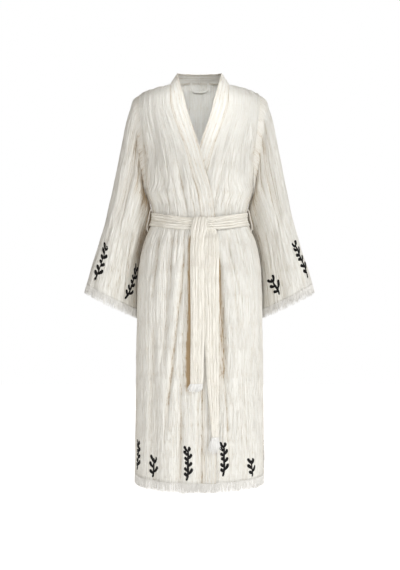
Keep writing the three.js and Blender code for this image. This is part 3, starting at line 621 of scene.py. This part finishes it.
def band_lines(side):
    """The band's seam and free edge from the centre back to the hem, and their clearance."""
    seam, lead, clear = [], [], []
    for i in range(ON_NECK, 0, -1):
        s, l = neck_seam(i / ON_NECK, side), neck_top(i / ON_NECK, side)
        if i == ON_NECK:
            s[0] = l[0] = side * 0.15
        seam.append(s), lead.append(l), clear.append(1.2)
    for share, (x, y, z) in zip((1, 0.75, 0.5, 0.25, 0), STAND):
        base = front_point(side, np.array([1.0]), np.array([float(CAP_Z)]))[0]
        top = shoulder_at(np.float64(NECK_X), side, RIDGE_Y - SEAM / 2)
        seam.append(turned(base, top, np.float64(share)))
        lead.append(np.array([-side * x, y, z])), clear.append(0.8)
    for z in LEVELS[1:]:
        z = float(z)
        seam.append(front_point(side, np.array([1.0]), np.array([z]))[0])
        high = z + along(OPENING, z, "lift")
        x = -side * along(OPENING, high, "lead")
        inside = tucked(x, high) if side > 0 else 0.0
        lead.append(on_body(deg_at(x, high), high, False, inside, creases=False))
        clear.append(0.45)
    return np.array(seam), np.array(lead), np.array(clear)


def smooth_line(points, place, at):
    """A cubic through points with known places along it, at other shares of the way."""
    rows = {"k": place / place[-1], **dict(zip("xyz", points.T))}
    return np.stack([along(rows, at, c, "k") for c in "xyz"], -1)


for side, word in SIDES:
    S, L, C = band_lines(side)
    S = S + unit(L - S) * (0.2 * C[:, None])
    place = run_of((S + L) / 2)
    key = np.linspace(0, 1, 320)
    seam, lead = (smooth_line(A, place, key)[:, None] for A in (S, L))
    t = np.linspace(0, 1, 25)[None, :, None]
    P = seam * (1 - t) + lead * t
    out = unit(P * np.array([1, 1, 0]))
    sway = 0.5 * noise(key * 9, 0 * key, 2)[:, None, None]
    ridges = RIDGE * np.abs(np.sin(np.pi * (4 * t + sway))) * np.sin(np.pi * t)
    P = P + out * (1.3 * np.sin(np.pi * t) * np.where(key < 0.34, 1, 0.35)[:, None, None] + ridges)
    edge = ease(np.minimum(t[0, :, 0], 1 - t[0, :, 0]) * 6 + 0.25)[None, :]
    c = Cloth(P, 250, 12, seed=5 + side, rough=0.6, ease_edges=edge)
    # Painted shade along the band's seam edge and in the troughs between its lengthwise ridges.
    c.painted_shade += 0.2 * np.exp(-(t[0, :, 0] / 0.07) ** 2) + 0.3 * (1 - ridges[..., 0] / RIDGE) ** 4
    cloths["neckband_" + word] = c
    keep(c.wall("neckband_" + word + "_cloth", FACED), band, "band", "neckband_" + word)


# ---- sleeves
def pressed(rows, deg, s):
    """Depth of the sleeve's troughs at an angle round it and a share of its length."""
    deep = 0 * deg * s
    for s0, a0, s1, a1, depth, wide in rows:
        t = (s - s0) / (s1 - s0)
        off = (deg - mix(a0, a1, t)) / wide
        end = ease(t / 0.2) * (1 if s1 > 1 else ease((1 - t) / 0.3))
        deep = deep + np.where((t > 0) & (t < 1), depth * end * np.exp(-2 * off * off), 0)
    return deep


def sleeve_grid(side, around, steps):
    """Rings of points from the armhole to the cuff, angle 0 on the outer edge and 90 in front."""
    deg = np.arange(around) * 360 / around
    a = np.radians(deg)
    s = np.linspace(0, 1, steps)[:, None]
    col = {c: along(SLEEVE, s * 12, c, "k") for c in ("ox", "oz", "ix", "iz", "half", "y")}
    middle = lambda a, b: (col[a] + col[b]) / 2
    reach = lambda a, b: (col[a] - col[b]) / 2
    pulled_back = SLEEVE_BACK * ease(s / 0.3) * ((1 - np.cos(a)) / 2) ** 2
    P = points_at(
        side * (middle("ox", "ix") + reach("ox", "ix") * np.cos(a)),
        col["y"] + pulled_back - col["half"] * np.sign(np.sin(a)) * np.abs(np.sin(a)) ** 0.85,
        middle("oz", "iz") + reach("oz", "iz") * np.cos(a))
    half = np.concatenate([side * (col["ox"] - col["ix"]), 0 * col["y"], col["oz"] - col["iz"]], 1)
    half = unit(half)[:, None, :] * np.cos(a)[None, :, None]
    half[..., 1] -= np.sin(a)
    n = unit(half)
    P = P - n * pressed(SLEEVE_FOLDS + SLEEVE_CREASES, deg[None, :], s)[..., None]
    # the armhole: the panels' edges, by the same angle
    z = SHOULDER_Z - (1 - np.cos(a)) / 2 * (SHOULDER_Z - UNDERARM_Z)
    ring = np.zeros((around, 3))
    for back in (False, True):
        here = (np.sin(a) < 0) if back else (np.sin(a) >= 0)
        zz = z[here]
        edge = side_edge(np.minimum(zz, CAP_Z))
        low = on_body(side * edge, np.minimum(zz, CAP_Z), back)
        share = np.degrees(np.arcsin(np.clip((zz - CAP_Z) / (SHOULDER_Z - CAP_Z), 0, 1))) / 90
        top = np.array([side * float(SHOULDER_X), RIDGE_Y, SHOULDER_Z])
        ring[here] = turned(low, top, share)
    out = unit(P[5] - ring)
    low = ease((-240 - z) / 60)[:, None]
    ring = (ring + out * np.where(low != 0, 1.2, -2) - n[0] * 1.9 * (1 - low)
            + low * np.array([side * 2.4, 0, 0]))
    t = ease(s / 0.1)[..., None]
    return ring[None] * (1 - t) + P * t


AROUND, STEPS = 300, 100
share, turn = np.linspace(0, 1, STEPS)[:, None], np.arange(AROUND)[None, :] * (360 / AROUND)
# Painted shade in the sleeve's troughs and creases.
painted_fold_shade = pressed(SLEEVE_FOLDS, turn, share) * 0.012 + pressed(SLEEVE_CREASES, turn, share) * 0.025
for side, word in SIDES:
    c = Cloth(sleeve_grid(side, AROUND, STEPS), 58, AROUND // 4, round_=True, seed=11 + side, rough=1.5,
              grain=np.linspace(0, 560, AROUND), ease_edges=ease(share / 0.14))
    # Painted shade on the sleeve: a flat amount near the armhole, then its hollows, its nearness to the body and its
    # troughs.
    c.painted_shade = mix(0.22, c.painted_shade + 0.75 * painted_side_shade(c.P, 24) + painted_fold_shade, ease(share / 0.15 - 0.1))
    cloths["sleeve_" + word] = c
    keep(c.wall("sleeve_" + word + "_cloth", CLOTH), cloth, "cloth", "sleeve_" + word)


# ---- belt
def belt_z(a):
    return -381 - 21 * np.maximum(0, np.cos(a)) ** 2 + 3 * np.maximum(0, -np.cos(a)) ** 2


CREASES = [(0.12, 0.06, 0.9), (0.31, 0.07, 1.4), (0.54, 0.07, 1.6), (0.78, 0.07, 1.4)]  # place across, width, depth
ACROSS = np.linspace(0, 1, 34)[None, :]


def creases_of(c, run, seed, fan=0.0):
    """Lengthwise creases of a folded strip, drawn together where fan is 1."""
    c = mix(c, 0.6 + (c - 0.6) * 1.7, fan)
    crease = lambda k, at, wide: np.exp(-2 * ((c - at - 0.07 * (noise(run / 60, 0 * c, seed + k) - 0.5)) / wide) ** 2)
    return sum(g * crease(k, at, wide) * (0.45 + noise(run / 90, 0 * c + 3, seed + k))
               for k, (at, wide, g) in enumerate(CREASES))


def tail_y(rows, x, u, z):
    """Depth at which a hanging end lies over the skirt."""
    base = on_body(deg_at(x, z), z, False, creases=False)
    return (-np.maximum(-base[..., 1], along(BODY, z, "f") - 1.5) - along(rows, z, "off")
            + 0.8 * u * u - 0.6 + 3.2 * u ** 8)


def belt_grid():
    a = np.linspace(0.02, 2 * math.pi - 0.02, 440)[:, None]
    front = np.maximum(0, np.cos(a)) ** 10
    level = belt_z(a) + (1 - 2 * ACROSS) * BELT_HEIGHT / 2 * (1 - 0.12 * front)
    w = along(BODY, level, "w") + BELT_OUT
    d = np.where(np.cos(a) < 0, along(BODY, level, "b"), along(BODY, level, "f")) + BELT_OUT
    over_end = ease((a - 0.02) / 0.07) * ease((0.42 - a) / 0.07)  # where it lies over the left end
    flat = np.where(ACROSS > 0.5, 1 - over_end, 1)
    deep = (creases_of(ACROSS, a * 120, 0, front) * (1.0 + 0.8 * front)
            + 2.5 * front * flat * np.abs(2 * ACROSS - 1) ** 2)
    return points_at((w - deep) * np.sin(a), -(d - deep) * np.cos(a), level)


def tail_right_grid():
    """The sash end that comes over the belt's top edge at the knot and hangs down."""
    q = np.linspace(0, 1, 70)[:, None]
    knot = table("k z out left right", [
        (0, -394, 1.0, -8, 15), (0.08, -387, 2.5, -10, 17), (0.14, -383.5, 6, -11.5, 18.5),
        (0.2, -385, 10, -13, 19.3), (0.32, -392, 12.6, -15.5, 20), (0.5, -405, 13.6, -19.5, 20),
        (0.68, -417, 13, -21.8, 19.5), (0.84, -427, 11.4, -22.4, 17), (1, -437.6, 9.6, -22.4, 12.65)])
    at = lambda column: along(knot, q, column, "k")
    x = mix(at("left"), at("right"), ACROSS)
    z = at("z") + 0 * x
    w, f = along(BODY, z, "w") + BELT_OUT, along(BODY, z, "f")
    u = 2 * ACROSS - 1
    pleat = creases_of(ACROSS, z, 4) * 1.5
    y = -(f * np.sqrt(1 - (x / w) ** 2) + at("out") - pleat - 2.6 * u ** 4 * ease(q / 0.2))
    down = np.linspace(-437.6, TAIL_RIGHT["z"][-1], 190)[1:, None]
    tx = along(TAIL_RIGHT, down, "x") + u * along(TAIL_RIGHT, down, "wide") / 2
    ty = tail_y(TAIL_RIGHT, tx, u, down) + creases_of(ACROSS, down, 4) * 0.8
    y = mix(y, ty[:1] + 0 * y, ease((q - 0.75) / 0.25))
    return np.concatenate([points_at(x, y, z), points_at(tx, ty, down)])


def strip(name, P, seed, row, *nodes):
    c = Cloth(P, row, P.shape[1] // 2, seed=seed, rough=0.22)
    keep(c.wall(name + "_cloth", FACED), sash, "belt", *nodes)
    return c


strip("belt", belt_grid(), 21, 20, "belt")
cloths["tail_right"] = strip("belt_tail_right", tail_right_grid(), 22, 150, "belt_knot", "belt_tail_right")


def tail_left_grid():
    """The other end, which comes out from under the belt's lower edge and lies partly under the first."""
    z = np.linspace(-412, TAIL_LEFT["z"][-1], 220)[:, None]
    u = 2 * ACROSS - 1
    low = np.minimum(z, TAIL_LEFT["z"][0])
    under = 5 * (1 - ease((-560 - z) / 90))
    wide = along(TAIL_LEFT, low, "wide") + under
    x = along(TAIL_LEFT, low, "x") - under / 2 + u * wide / 2 - 3 * ease((z + 424) / 16)
    y = tail_y(TAIL_LEFT, x, u, low) + creases_of(ACROSS, z, 2) * 0.8 + 2.4 * ease(under / 4)
    return points_at(x, y + 5.5 * ease((z + 446) / 20), z)


cloths["tail_left"] = strip("belt_tail_left", tail_left_grid(), 25, 100, "belt_tail_left")


# ---- fringes
CURL, FRINGE = 2, 30


def strands(node, edge, down, out, count, reach, mat=fluff, flare=0.0, seed=1, thick=0.6, round_=False,
            uneven=0.16, drift=0.0, bulge=0.0):
    """Loose threads along an edge: thin three-sided yarns that sway and end unevenly."""
    rnd = np.random.RandomState(seed)
    n = len(edge)
    k = (np.arange(count) + rnd.uniform(-0.35, 0.35, count)) / count * (n if round_ else n - 1)
    k = np.clip(k, 0, n - (1e-3 if round_ else 1.001))
    i = np.floor(k).astype(int)
    f = (k - i)[:, None]
    j = (i + 1) % n
    root, d, o = (mix(A[i], A[j], f) for A in (edge, unit(down), unit(out)))
    d, o = unit(d), unit(o)
    side = unit(np.cross(o, d))
    way = np.sign(np.sum(side * (edge[j] - edge[i]), 1))
    ragged = noise(k / n * 60, 0 * k + seed, seed) * 0.14
    long = reach * (1 - ragged - uneven * rnd.rand(count) ** 3) * (1 - bulge * (2 * k / n - 1) ** 2)
    lean = (rnd.normal(0, 0.05, count) + 0.06 * (noise(k / n * 45, 0 * k, seed + 3) - 0.5)
            + flare * way * (k / n - 0.5) * 2 + drift)
    phase, layer = rnd.uniform(0, 6.28, count), rnd.uniform(-0.5, 0.5, count)
    levels = 6
    verts, away = [], []
    for q in range(levels):
        t = q / (levels - 1)
        sway = long * lean * t + CURL * np.sin(phase + 3 * t) * t * 0.3
        c = (root + d * (long * t - 1.2)[:, None] + side * sway[:, None]
             + o * (layer + 0.7 * np.sin(phase * 2 + 4 * t) * t)[:, None])
        wide = thick * (1 - 0.5 * max(0, t - 0.6) / 0.4)
        for a in (0, 2.094, 4.189):
            turn = (a + 0.25 * q + 3 * phase)[:, None]
            v = side * np.cos(turn) + o * np.sin(turn)
            verts.append(c + wide * v)
            away.append(unit(v + o * 0.35))
    V = np.stack(verts, 1).reshape(-1, 3)
    base = np.arange(count)[:, None] * levels * 3
    quads, uvs = [], []
    for q in range(levels - 1):
        for a in range(3):
            b = (a + 1) % 3
            quads.append(base + np.array([[q * 3 + a, q * 3 + b, (q + 1) * 3 + b, (q + 1) * 3 + a]]))
            u = k * 0.002
            uvs.append(np.stack([np.stack([u, 0 * u + v * 0.005], -1) for v in (q, q, q + 1, q + 1)], 1))
    caps = np.concatenate([base + np.array([[2, 1, 0]]), base + (levels - 1) * 3 + np.array([[0, 1, 2]])])
    uvs = [np.concatenate(uvs), np.zeros((len(caps), 3, 2))]
    made = build(node + "_threads", V, [np.concatenate(quads), caps], uvs)
    made.data.normals_split_custom_set_from_vertices(np.stack(away, 1).reshape(-1, 3).tolist())
    return keep(made, mat, "fringe", node)


def edge_of(c, straight=False):
    """The last row of a cloth, the way down from it and its outward normals."""
    down = np.tile([0, 0, -1.0], (c.P.shape[1], 1)) if straight else c.P[-1] - c.P[-5]
    return c.P[-1], down, c.N[-1]


hem = {"back": edge_of(cloths["back"], straight=True)}
for _, word in SIDES:
    a, b = (edge_of(cloths[name + word], straight=True) for name in ("front_", "neckband_"))
    hem[word] = tuple(np.concatenate([p, q]) for p, q in zip(a, b))
for seed, (name, count) in enumerate((("back", 800), ("right", 520), ("left", 500))):
    strands("fringe_hem_" + name, *hem[name], count, FRINGE, seed=seed + 1)
TASSELS = {"right": (26, 0.3, -0.28), "left": (48, 0.26, -0.06)}  # length, flare, drift
for seed, (_, word) in enumerate(SIDES):
    strands(
        "fringe_cuff_" + word, *edge_of(cloths["sleeve_" + word]), 640, FRINGE, seed=seed + 9, round_=True)
    reach, flare, drift = TASSELS[word]
    root, down, _ = edge_of(cloths["tail_" + word], straight=True)
    out = np.tile([0.3, -1.0, 0], (len(root), 1))
    strands(
        "belt_tassel_" + word, root, down, out, 66, reach, white, flare, 20 + seed * 3, 0.7,
        uneven=0.1, drift=drift, bulge=0.32)


# ---- stitches and embroidery
def strokes(name, rings, mat):
    """Raised thread strokes: each is an array of closed rings of points along its way."""
    V, Q, T, U = [], [], [], []
    start = 0
    for R in rings:
        n, sides = R.shape[:2]
        V.append(R.reshape(-1, 3))
        length = run_of(R.mean(1)) * MM
        for i in range(n - 1):
            first, second = start + i * sides, start + (i + 1) * sides
            for a in range(sides):
                b = (a + 1) % sides
                Q.append([first + a, second + a, second + b, first + b])
                U.append([[(a + j) * MM, length[i + k]] for j, k in ((0, 0), (0, 1), (1, 1), (1, 0))])
        for a in range(1, sides - 1):
            T.append([start, start + a, start + a + 1])
            e = start + (n - 1) * sides
            T.append([e, e + a + 1, e + a])
        start += n * sides
    o = build(name, np.concatenate(V), [np.array(Q), np.array(T)], [np.array(U), np.zeros((len(T), 3, 2))])
    return keep(o, mat, "thread")


# Leaves of a sprig as shares of its length: root, tip and reach to the side
TALL = [(0.12, 0.23, -0.105), (0.17, 0.36, 0.125), (0.26, 0.38, -0.105), (0.4, 0.54, 0.115), (0.46, 0.55, -0.08),
        (0.58, 0.68, -0.105), (0.62, 0.78, 0.1), (0.72, 0.86, -0.12), (0.82, 1, -0.075), (0.84, 0.98, 0.075)]
SHORT = [(0.15, 0.33, -0.2), (0.22, 0.54, 0.25), (0.42, 0.7, -0.22), (0.62, 0.96, 0.17), (0.68, 1.02, -0.13)]


def sprig(c, foot, tip, wall, bend=0.05, flip=1):
    """A leafy sprig on a cloth, from its foot to its tip, both (x, z, front)."""
    i0, j0 = c.find(*foot)
    i1, j1 = c.find(*tip)
    m = c.P.shape[1]
    if c.round:
        j1 = j0 + (j1 - j0 + m / 2) % m - m / 2
    di, dj = c.steps((i0 + i1) / 2, (j0 + j1) / 2)
    run = np.array([(i1 - i0) / di, (j1 - j0) / dj])  # down and across, in millimetres
    length = np.linalg.norm(run)
    run = run / length
    cross = np.array([-run[1], run[0]]) * flip

    def place(a, b, high):
        b = b + bend * length * (np.sin(np.pi * np.clip(a / length, 0, 1)) + 0.25 * np.sin(3 * np.pi * a / length))
        d, r = run[0] * a + cross[0] * b, run[1] * a + cross[1] * b
        return c.at(i0 + d * di, j0 + r * dj, high)

    def stroke(a0, b0, a1, b1, bow, wide, blunt=True, steps=10):
        """Rings over the cloth along a bowed line: five points across the top and one below the surface."""
        t = np.linspace(0, 1, steps)
        long = max(1e-6, math.hypot(a1 - a0, b1 - b0))
        n = np.array([-(b1 - b0), a1 - a0]) / long
        arc = bow * np.sin(np.pi * t)
        inward = np.clip(np.minimum(t * long, (1 - t) * long) / wide, 0, 1)
        ends = np.sqrt(np.clip(1 - (1 - inward) ** 2, 0.03, 1))
        body = wide * ends * (mix(0.7, 1, ease(t * 1.6)) if blunt else mix(1, 0.8, t))
        rows = []
        for v in (-1, -0.6, 0, 0.6, 1, 0):
            top = wall / 2 - 0.5 if len(rows) == 5 else wall / 2 + 0.25 + 0.75 * math.sqrt(1 - v * v)
            off = arc + v * body
            rows.append(place(mix(a0, a1, t) + n[0] * off, mix(b0, b1, t) + n[1] * off, np.full(steps, top)))
        return np.stack(rows, 1)

    made = [stroke(-1, 0, length * 0.88, 0, 0, 3.1, False, 26)]
    for root, end, reach in SHORT if length < 75 else TALL:
        size = min(length, 100) / length if length >= 75 else 1
        bow = 0.09 * abs(end - root) * length * np.sign(reach)
        made.append(stroke(root * length, 0, end * length, reach * length * size, bow, 4))
    return made


SPRIGS = [  # piece, foot x and z, tip x and z, on the front
    ("sleeve_right", -292, -552, -259, -453, True), ("sleeve_right", -211, -606, -179, -509, True),
    ("sleeve_left", 301, -546, 259, -446, True), ("sleeve_left", 224, -593, 199, -548, True),
    ("sleeve_right", -205, -604, -190, -556, False), ("sleeve_right", -268, -566, -238, -470, False),
    ("sleeve_left", 214, -602, 190, -512, False), ("sleeve_left", 282, -556, 264, -512, False),
    ("front_right", -172, -1075, -168, -992, True), ("front_right", -126, -1086, -125, -1032, True),
    ("front_right", -35, -1090, -34, -994, True), ("front_left", 63, -1080, 62, -986, True),
    ("front_left", 143, -1086, 137, -1040, True), ("front_left", 179.4, -1078, 179.4, -996, True)]
SPRIGS += [("back", x, -1085, x + 3 * math.sin(x), -1085 + (95 if k % 2 else 52), False)
           for k, x in enumerate((-150, -104, -52, 0, 50, 100, 148))]
stitched = {}
for piece, x0, z0, x1, z1, front in SPRIGS:
    made = sprig(cloths[piece], (x0, z0, front), (x1, z1, front), CLOTH, flip=-1 if x0 < 0 else 1)
    stitched.setdefault(piece, []).extend(made)
embroidery = {piece: strokes("embroidery_" + piece, paths, ink) for piece, paths in stitched.items()}


STITCH_UP, STITCH_PITCH = 3, 3.4


def stitch_row(c, wall):
    """Running stitches that follow the last row of a cloth, a little above it."""
    n, m = c.P.shape[:2]
    di, _ = c.steps(n - 3, m // 2)
    line, lift = (c.at(np.full(m, n - 1 - STITCH_UP * di), np.arange(m, dtype=float), np.full(m, wall / 2 + high))
                  for high in (0, 1))
    run = run_of(line)
    made = []
    for s in np.arange(1.5, run[-1] - 1.5, STITCH_PITCH):
        t = s + np.linspace(0, STITCH_PITCH * 0.72, 3)
        Q, up = (np.stack([np.interp(t, run, c) for c in A.T], -1) for A in (line, lift - line))
        up = unit(up)
        across = unit(np.cross(np.gradient(Q, axis=0), up))
        wide, high = np.array([0.3, 0.42, 0.3])[:, None], np.array([0.1, 0.3, 0.1])[:, None]
        made.append(np.stack([Q + across * wide * math.cos(q) + up * high * (0.35 + math.sin(q))
                              for q in np.radians((0, 90, 180, 270))], 1))
    return made


hems = sum((stitch_row(cloths[name], CLOTH) for name in ("back", "front_right", "front_left")), [])
hems += sum((stitch_row(cloths["neckband_" + word], FACED) for _, word in SIDES), [])
hem_stitches = strokes("hem_stitches", hems, fluff)
cuff_stitches = {word: strokes("cuff_stitches_" + word, stitch_row(cloths["sleeve_" + word], CLOTH), fluff)
                 for _, word in SIDES}


# ---- loops
def cord(name, points, wide, thick, mat, slot, node, twist=0.0):
    """A thread or tape through points, with its thickness along the part's depth."""
    points, sides, steps = np.array(points, float), 12, 60
    P = smooth_line(points, run_of(points), np.linspace(0, 1, steps))
    d = unit(np.gradient(P, axis=0))
    depth = np.array([0, 1.0, 0])
    v = unit(depth - d * (d @ depth)[:, None])
    u = np.cross(d, v)
    bead = 1 + twist * np.abs(np.sin(np.arange(steps) * 0.9))
    ring = []
    for a in range(sides):
        ang = 2 * math.pi * (a + 0.5) / sides
        k, h = abs(math.cos(ang)) ** 0.5 * math.copysign(1, math.cos(ang)), math.sin(ang)
        ring.append(P + u * (wide / 2 * k * bead)[:, None] + v * (thick / 2 * h * bead)[:, None])
    I, J, _, q = cells_of(steps, sides, True)
    uv = np.stack([np.stack([(J + b) * MM, (I + a) * MM], -1) for a, b in ((0, 0), (0, 1), (1, 1), (1, 0))], 1)
    caps = np.stack([np.arange(sides)[::-1], (steps - 1) * sides + np.arange(sides)])
    V = np.stack(ring, 1).reshape(-1, 3)
    return keep(build(name, V, [q, caps], [uv, np.zeros((2, sides, 2))]), mat, slot, node)


LOOP = [(-351, 2.2), (-359, 8.5), (-370, 12.5), (-384, 13.7), (-398, 12.5), (-409, 8.5), (-417, 2.2)]
for side, word in SIDES:
    pts = []
    for z, off in LOOP:
        w, f = (float(along(BODY, z, c)) for c in "wf")
        pts.append((side * (w * math.sqrt(1 - (LOOP_Y / f) ** 2) + off), LOOP_Y, z))
    cord("belt_loop_" + word + "_thread", pts, 2.2, 2.2, thread, "thread", "belt_loop_" + word, 0.35)
HANG = [(-24.5, 68.5, 29), (-25, 73, 18.5), (-21, 74.5, 8.5), (-12, 75.2, 4.5), (0, 75.4, 3.5),
        (12, 75.2, 4.5), (21, 74.5, 8.5), (25, 73, 18.5), (24.5, 68.5, 29)]
cord("hanging_loop_tape", HANG, 4.2, 1.4, band, "band", "hanging_loop")

# ---- floor, light and camera
bpy.ops.mesh.primitive_plane_add(size=6, location=(0, 0, -1.3))
floor = bpy.context.object
floor.name = "floor"
pale = bpy.data.materials.new("floor")
pale.use_nodes = True
sets(pale.node_tree.nodes["Principled BSDF"], Base_Color=(0.9, 0.9, 0.9, 1), Roughness=1, Specular_IOR_Level=0,
     Emission_Color=(1, 1, 1, 1), Emission_Strength=0.7)
floor.data.materials.append(pale)

scene = bpy.context.scene
scene.view_settings.view_transform = "Standard"
world = bpy.data.worlds.new("studio")
scene.world = world
world.use_nodes = True
wn, link = world.node_tree.nodes, world.node_tree.links.new
background, seen = wn["Background"], wn.new("ShaderNodeBackground")
sets(background, Color=(1, 0.9, 0.78, 1), Strength=0.3)
sets(seen, Color=(1, 1, 1, 1), Strength=1)
path = wn.new("ShaderNodeLightPath")
blend = wn.new("ShaderNodeMixShader")
link(path.outputs["Is Camera Ray"], blend.inputs["Fac"])
link(background.outputs["Background"], blend.inputs[1])
link(seen.outputs["Background"], blend.inputs[2])
link(blend.outputs["Shader"], wn["World Output"].inputs["Surface"])


def lamp(name, place, aim, size, watts, kind="AREA"):
    data = bpy.data.lights.new(name, kind)
    data.energy = watts
    data.color = (0.97, 0.985, 1)
    if kind == "AREA":
        data.shape, data.size = "DISK", size
    else:
        data.shadow_soft_size = size
    o = bpy.data.objects.new(name, data)
    scene.collection.objects.link(o)
    o.location = place
    way = np.array(aim) - np.array(place)
    o.rotation_euler = (math.atan2(math.hypot(way[0], way[1]), -way[2]), 0, math.atan2(way[0], -way[1]) + math.pi)
    return o


lamp("key", (2.6, -2.1, 0.8), (0, 0, -0.35), 0.7, 44)
lamp("front", (0.25, -2.8, -0.1), (0, 0, -0.55), 0.6, 18)
lamp("fill", (-2.0, -2.2, -0.6), (0, 0, -0.6), 1.6, 4.5)
lamp("rear", (0.4, 2.6, 0.8), (0, 0, -0.5), 1.6, 22)
neck = lamp("neck", (0.05, -1.9, 0.36), (0, 0.07, -0.07), 0.15, 280, "SPOT")
neck.data.spot_size, neck.data.spot_blend = math.radians(6.3), 1

SENSOR, AWAY, SEEN = 24, 1.9, 1.6245  # sensor height in mm, distance and height of view at the middle plane
camera = bpy.data.objects.new("camera", bpy.data.cameras.new("camera"))
scene.collection.objects.link(camera)
camera.location = (0.0014, -AWAY, -0.567)
camera.rotation_euler = (math.radians(90), 0, 0)
camera.data.sensor_fit = "VERTICAL"
camera.data.sensor_height = SENSOR
camera.data.lens = SENSOR * AWAY / SEEN
camera.data.clip_end = 200
scene.camera = camera
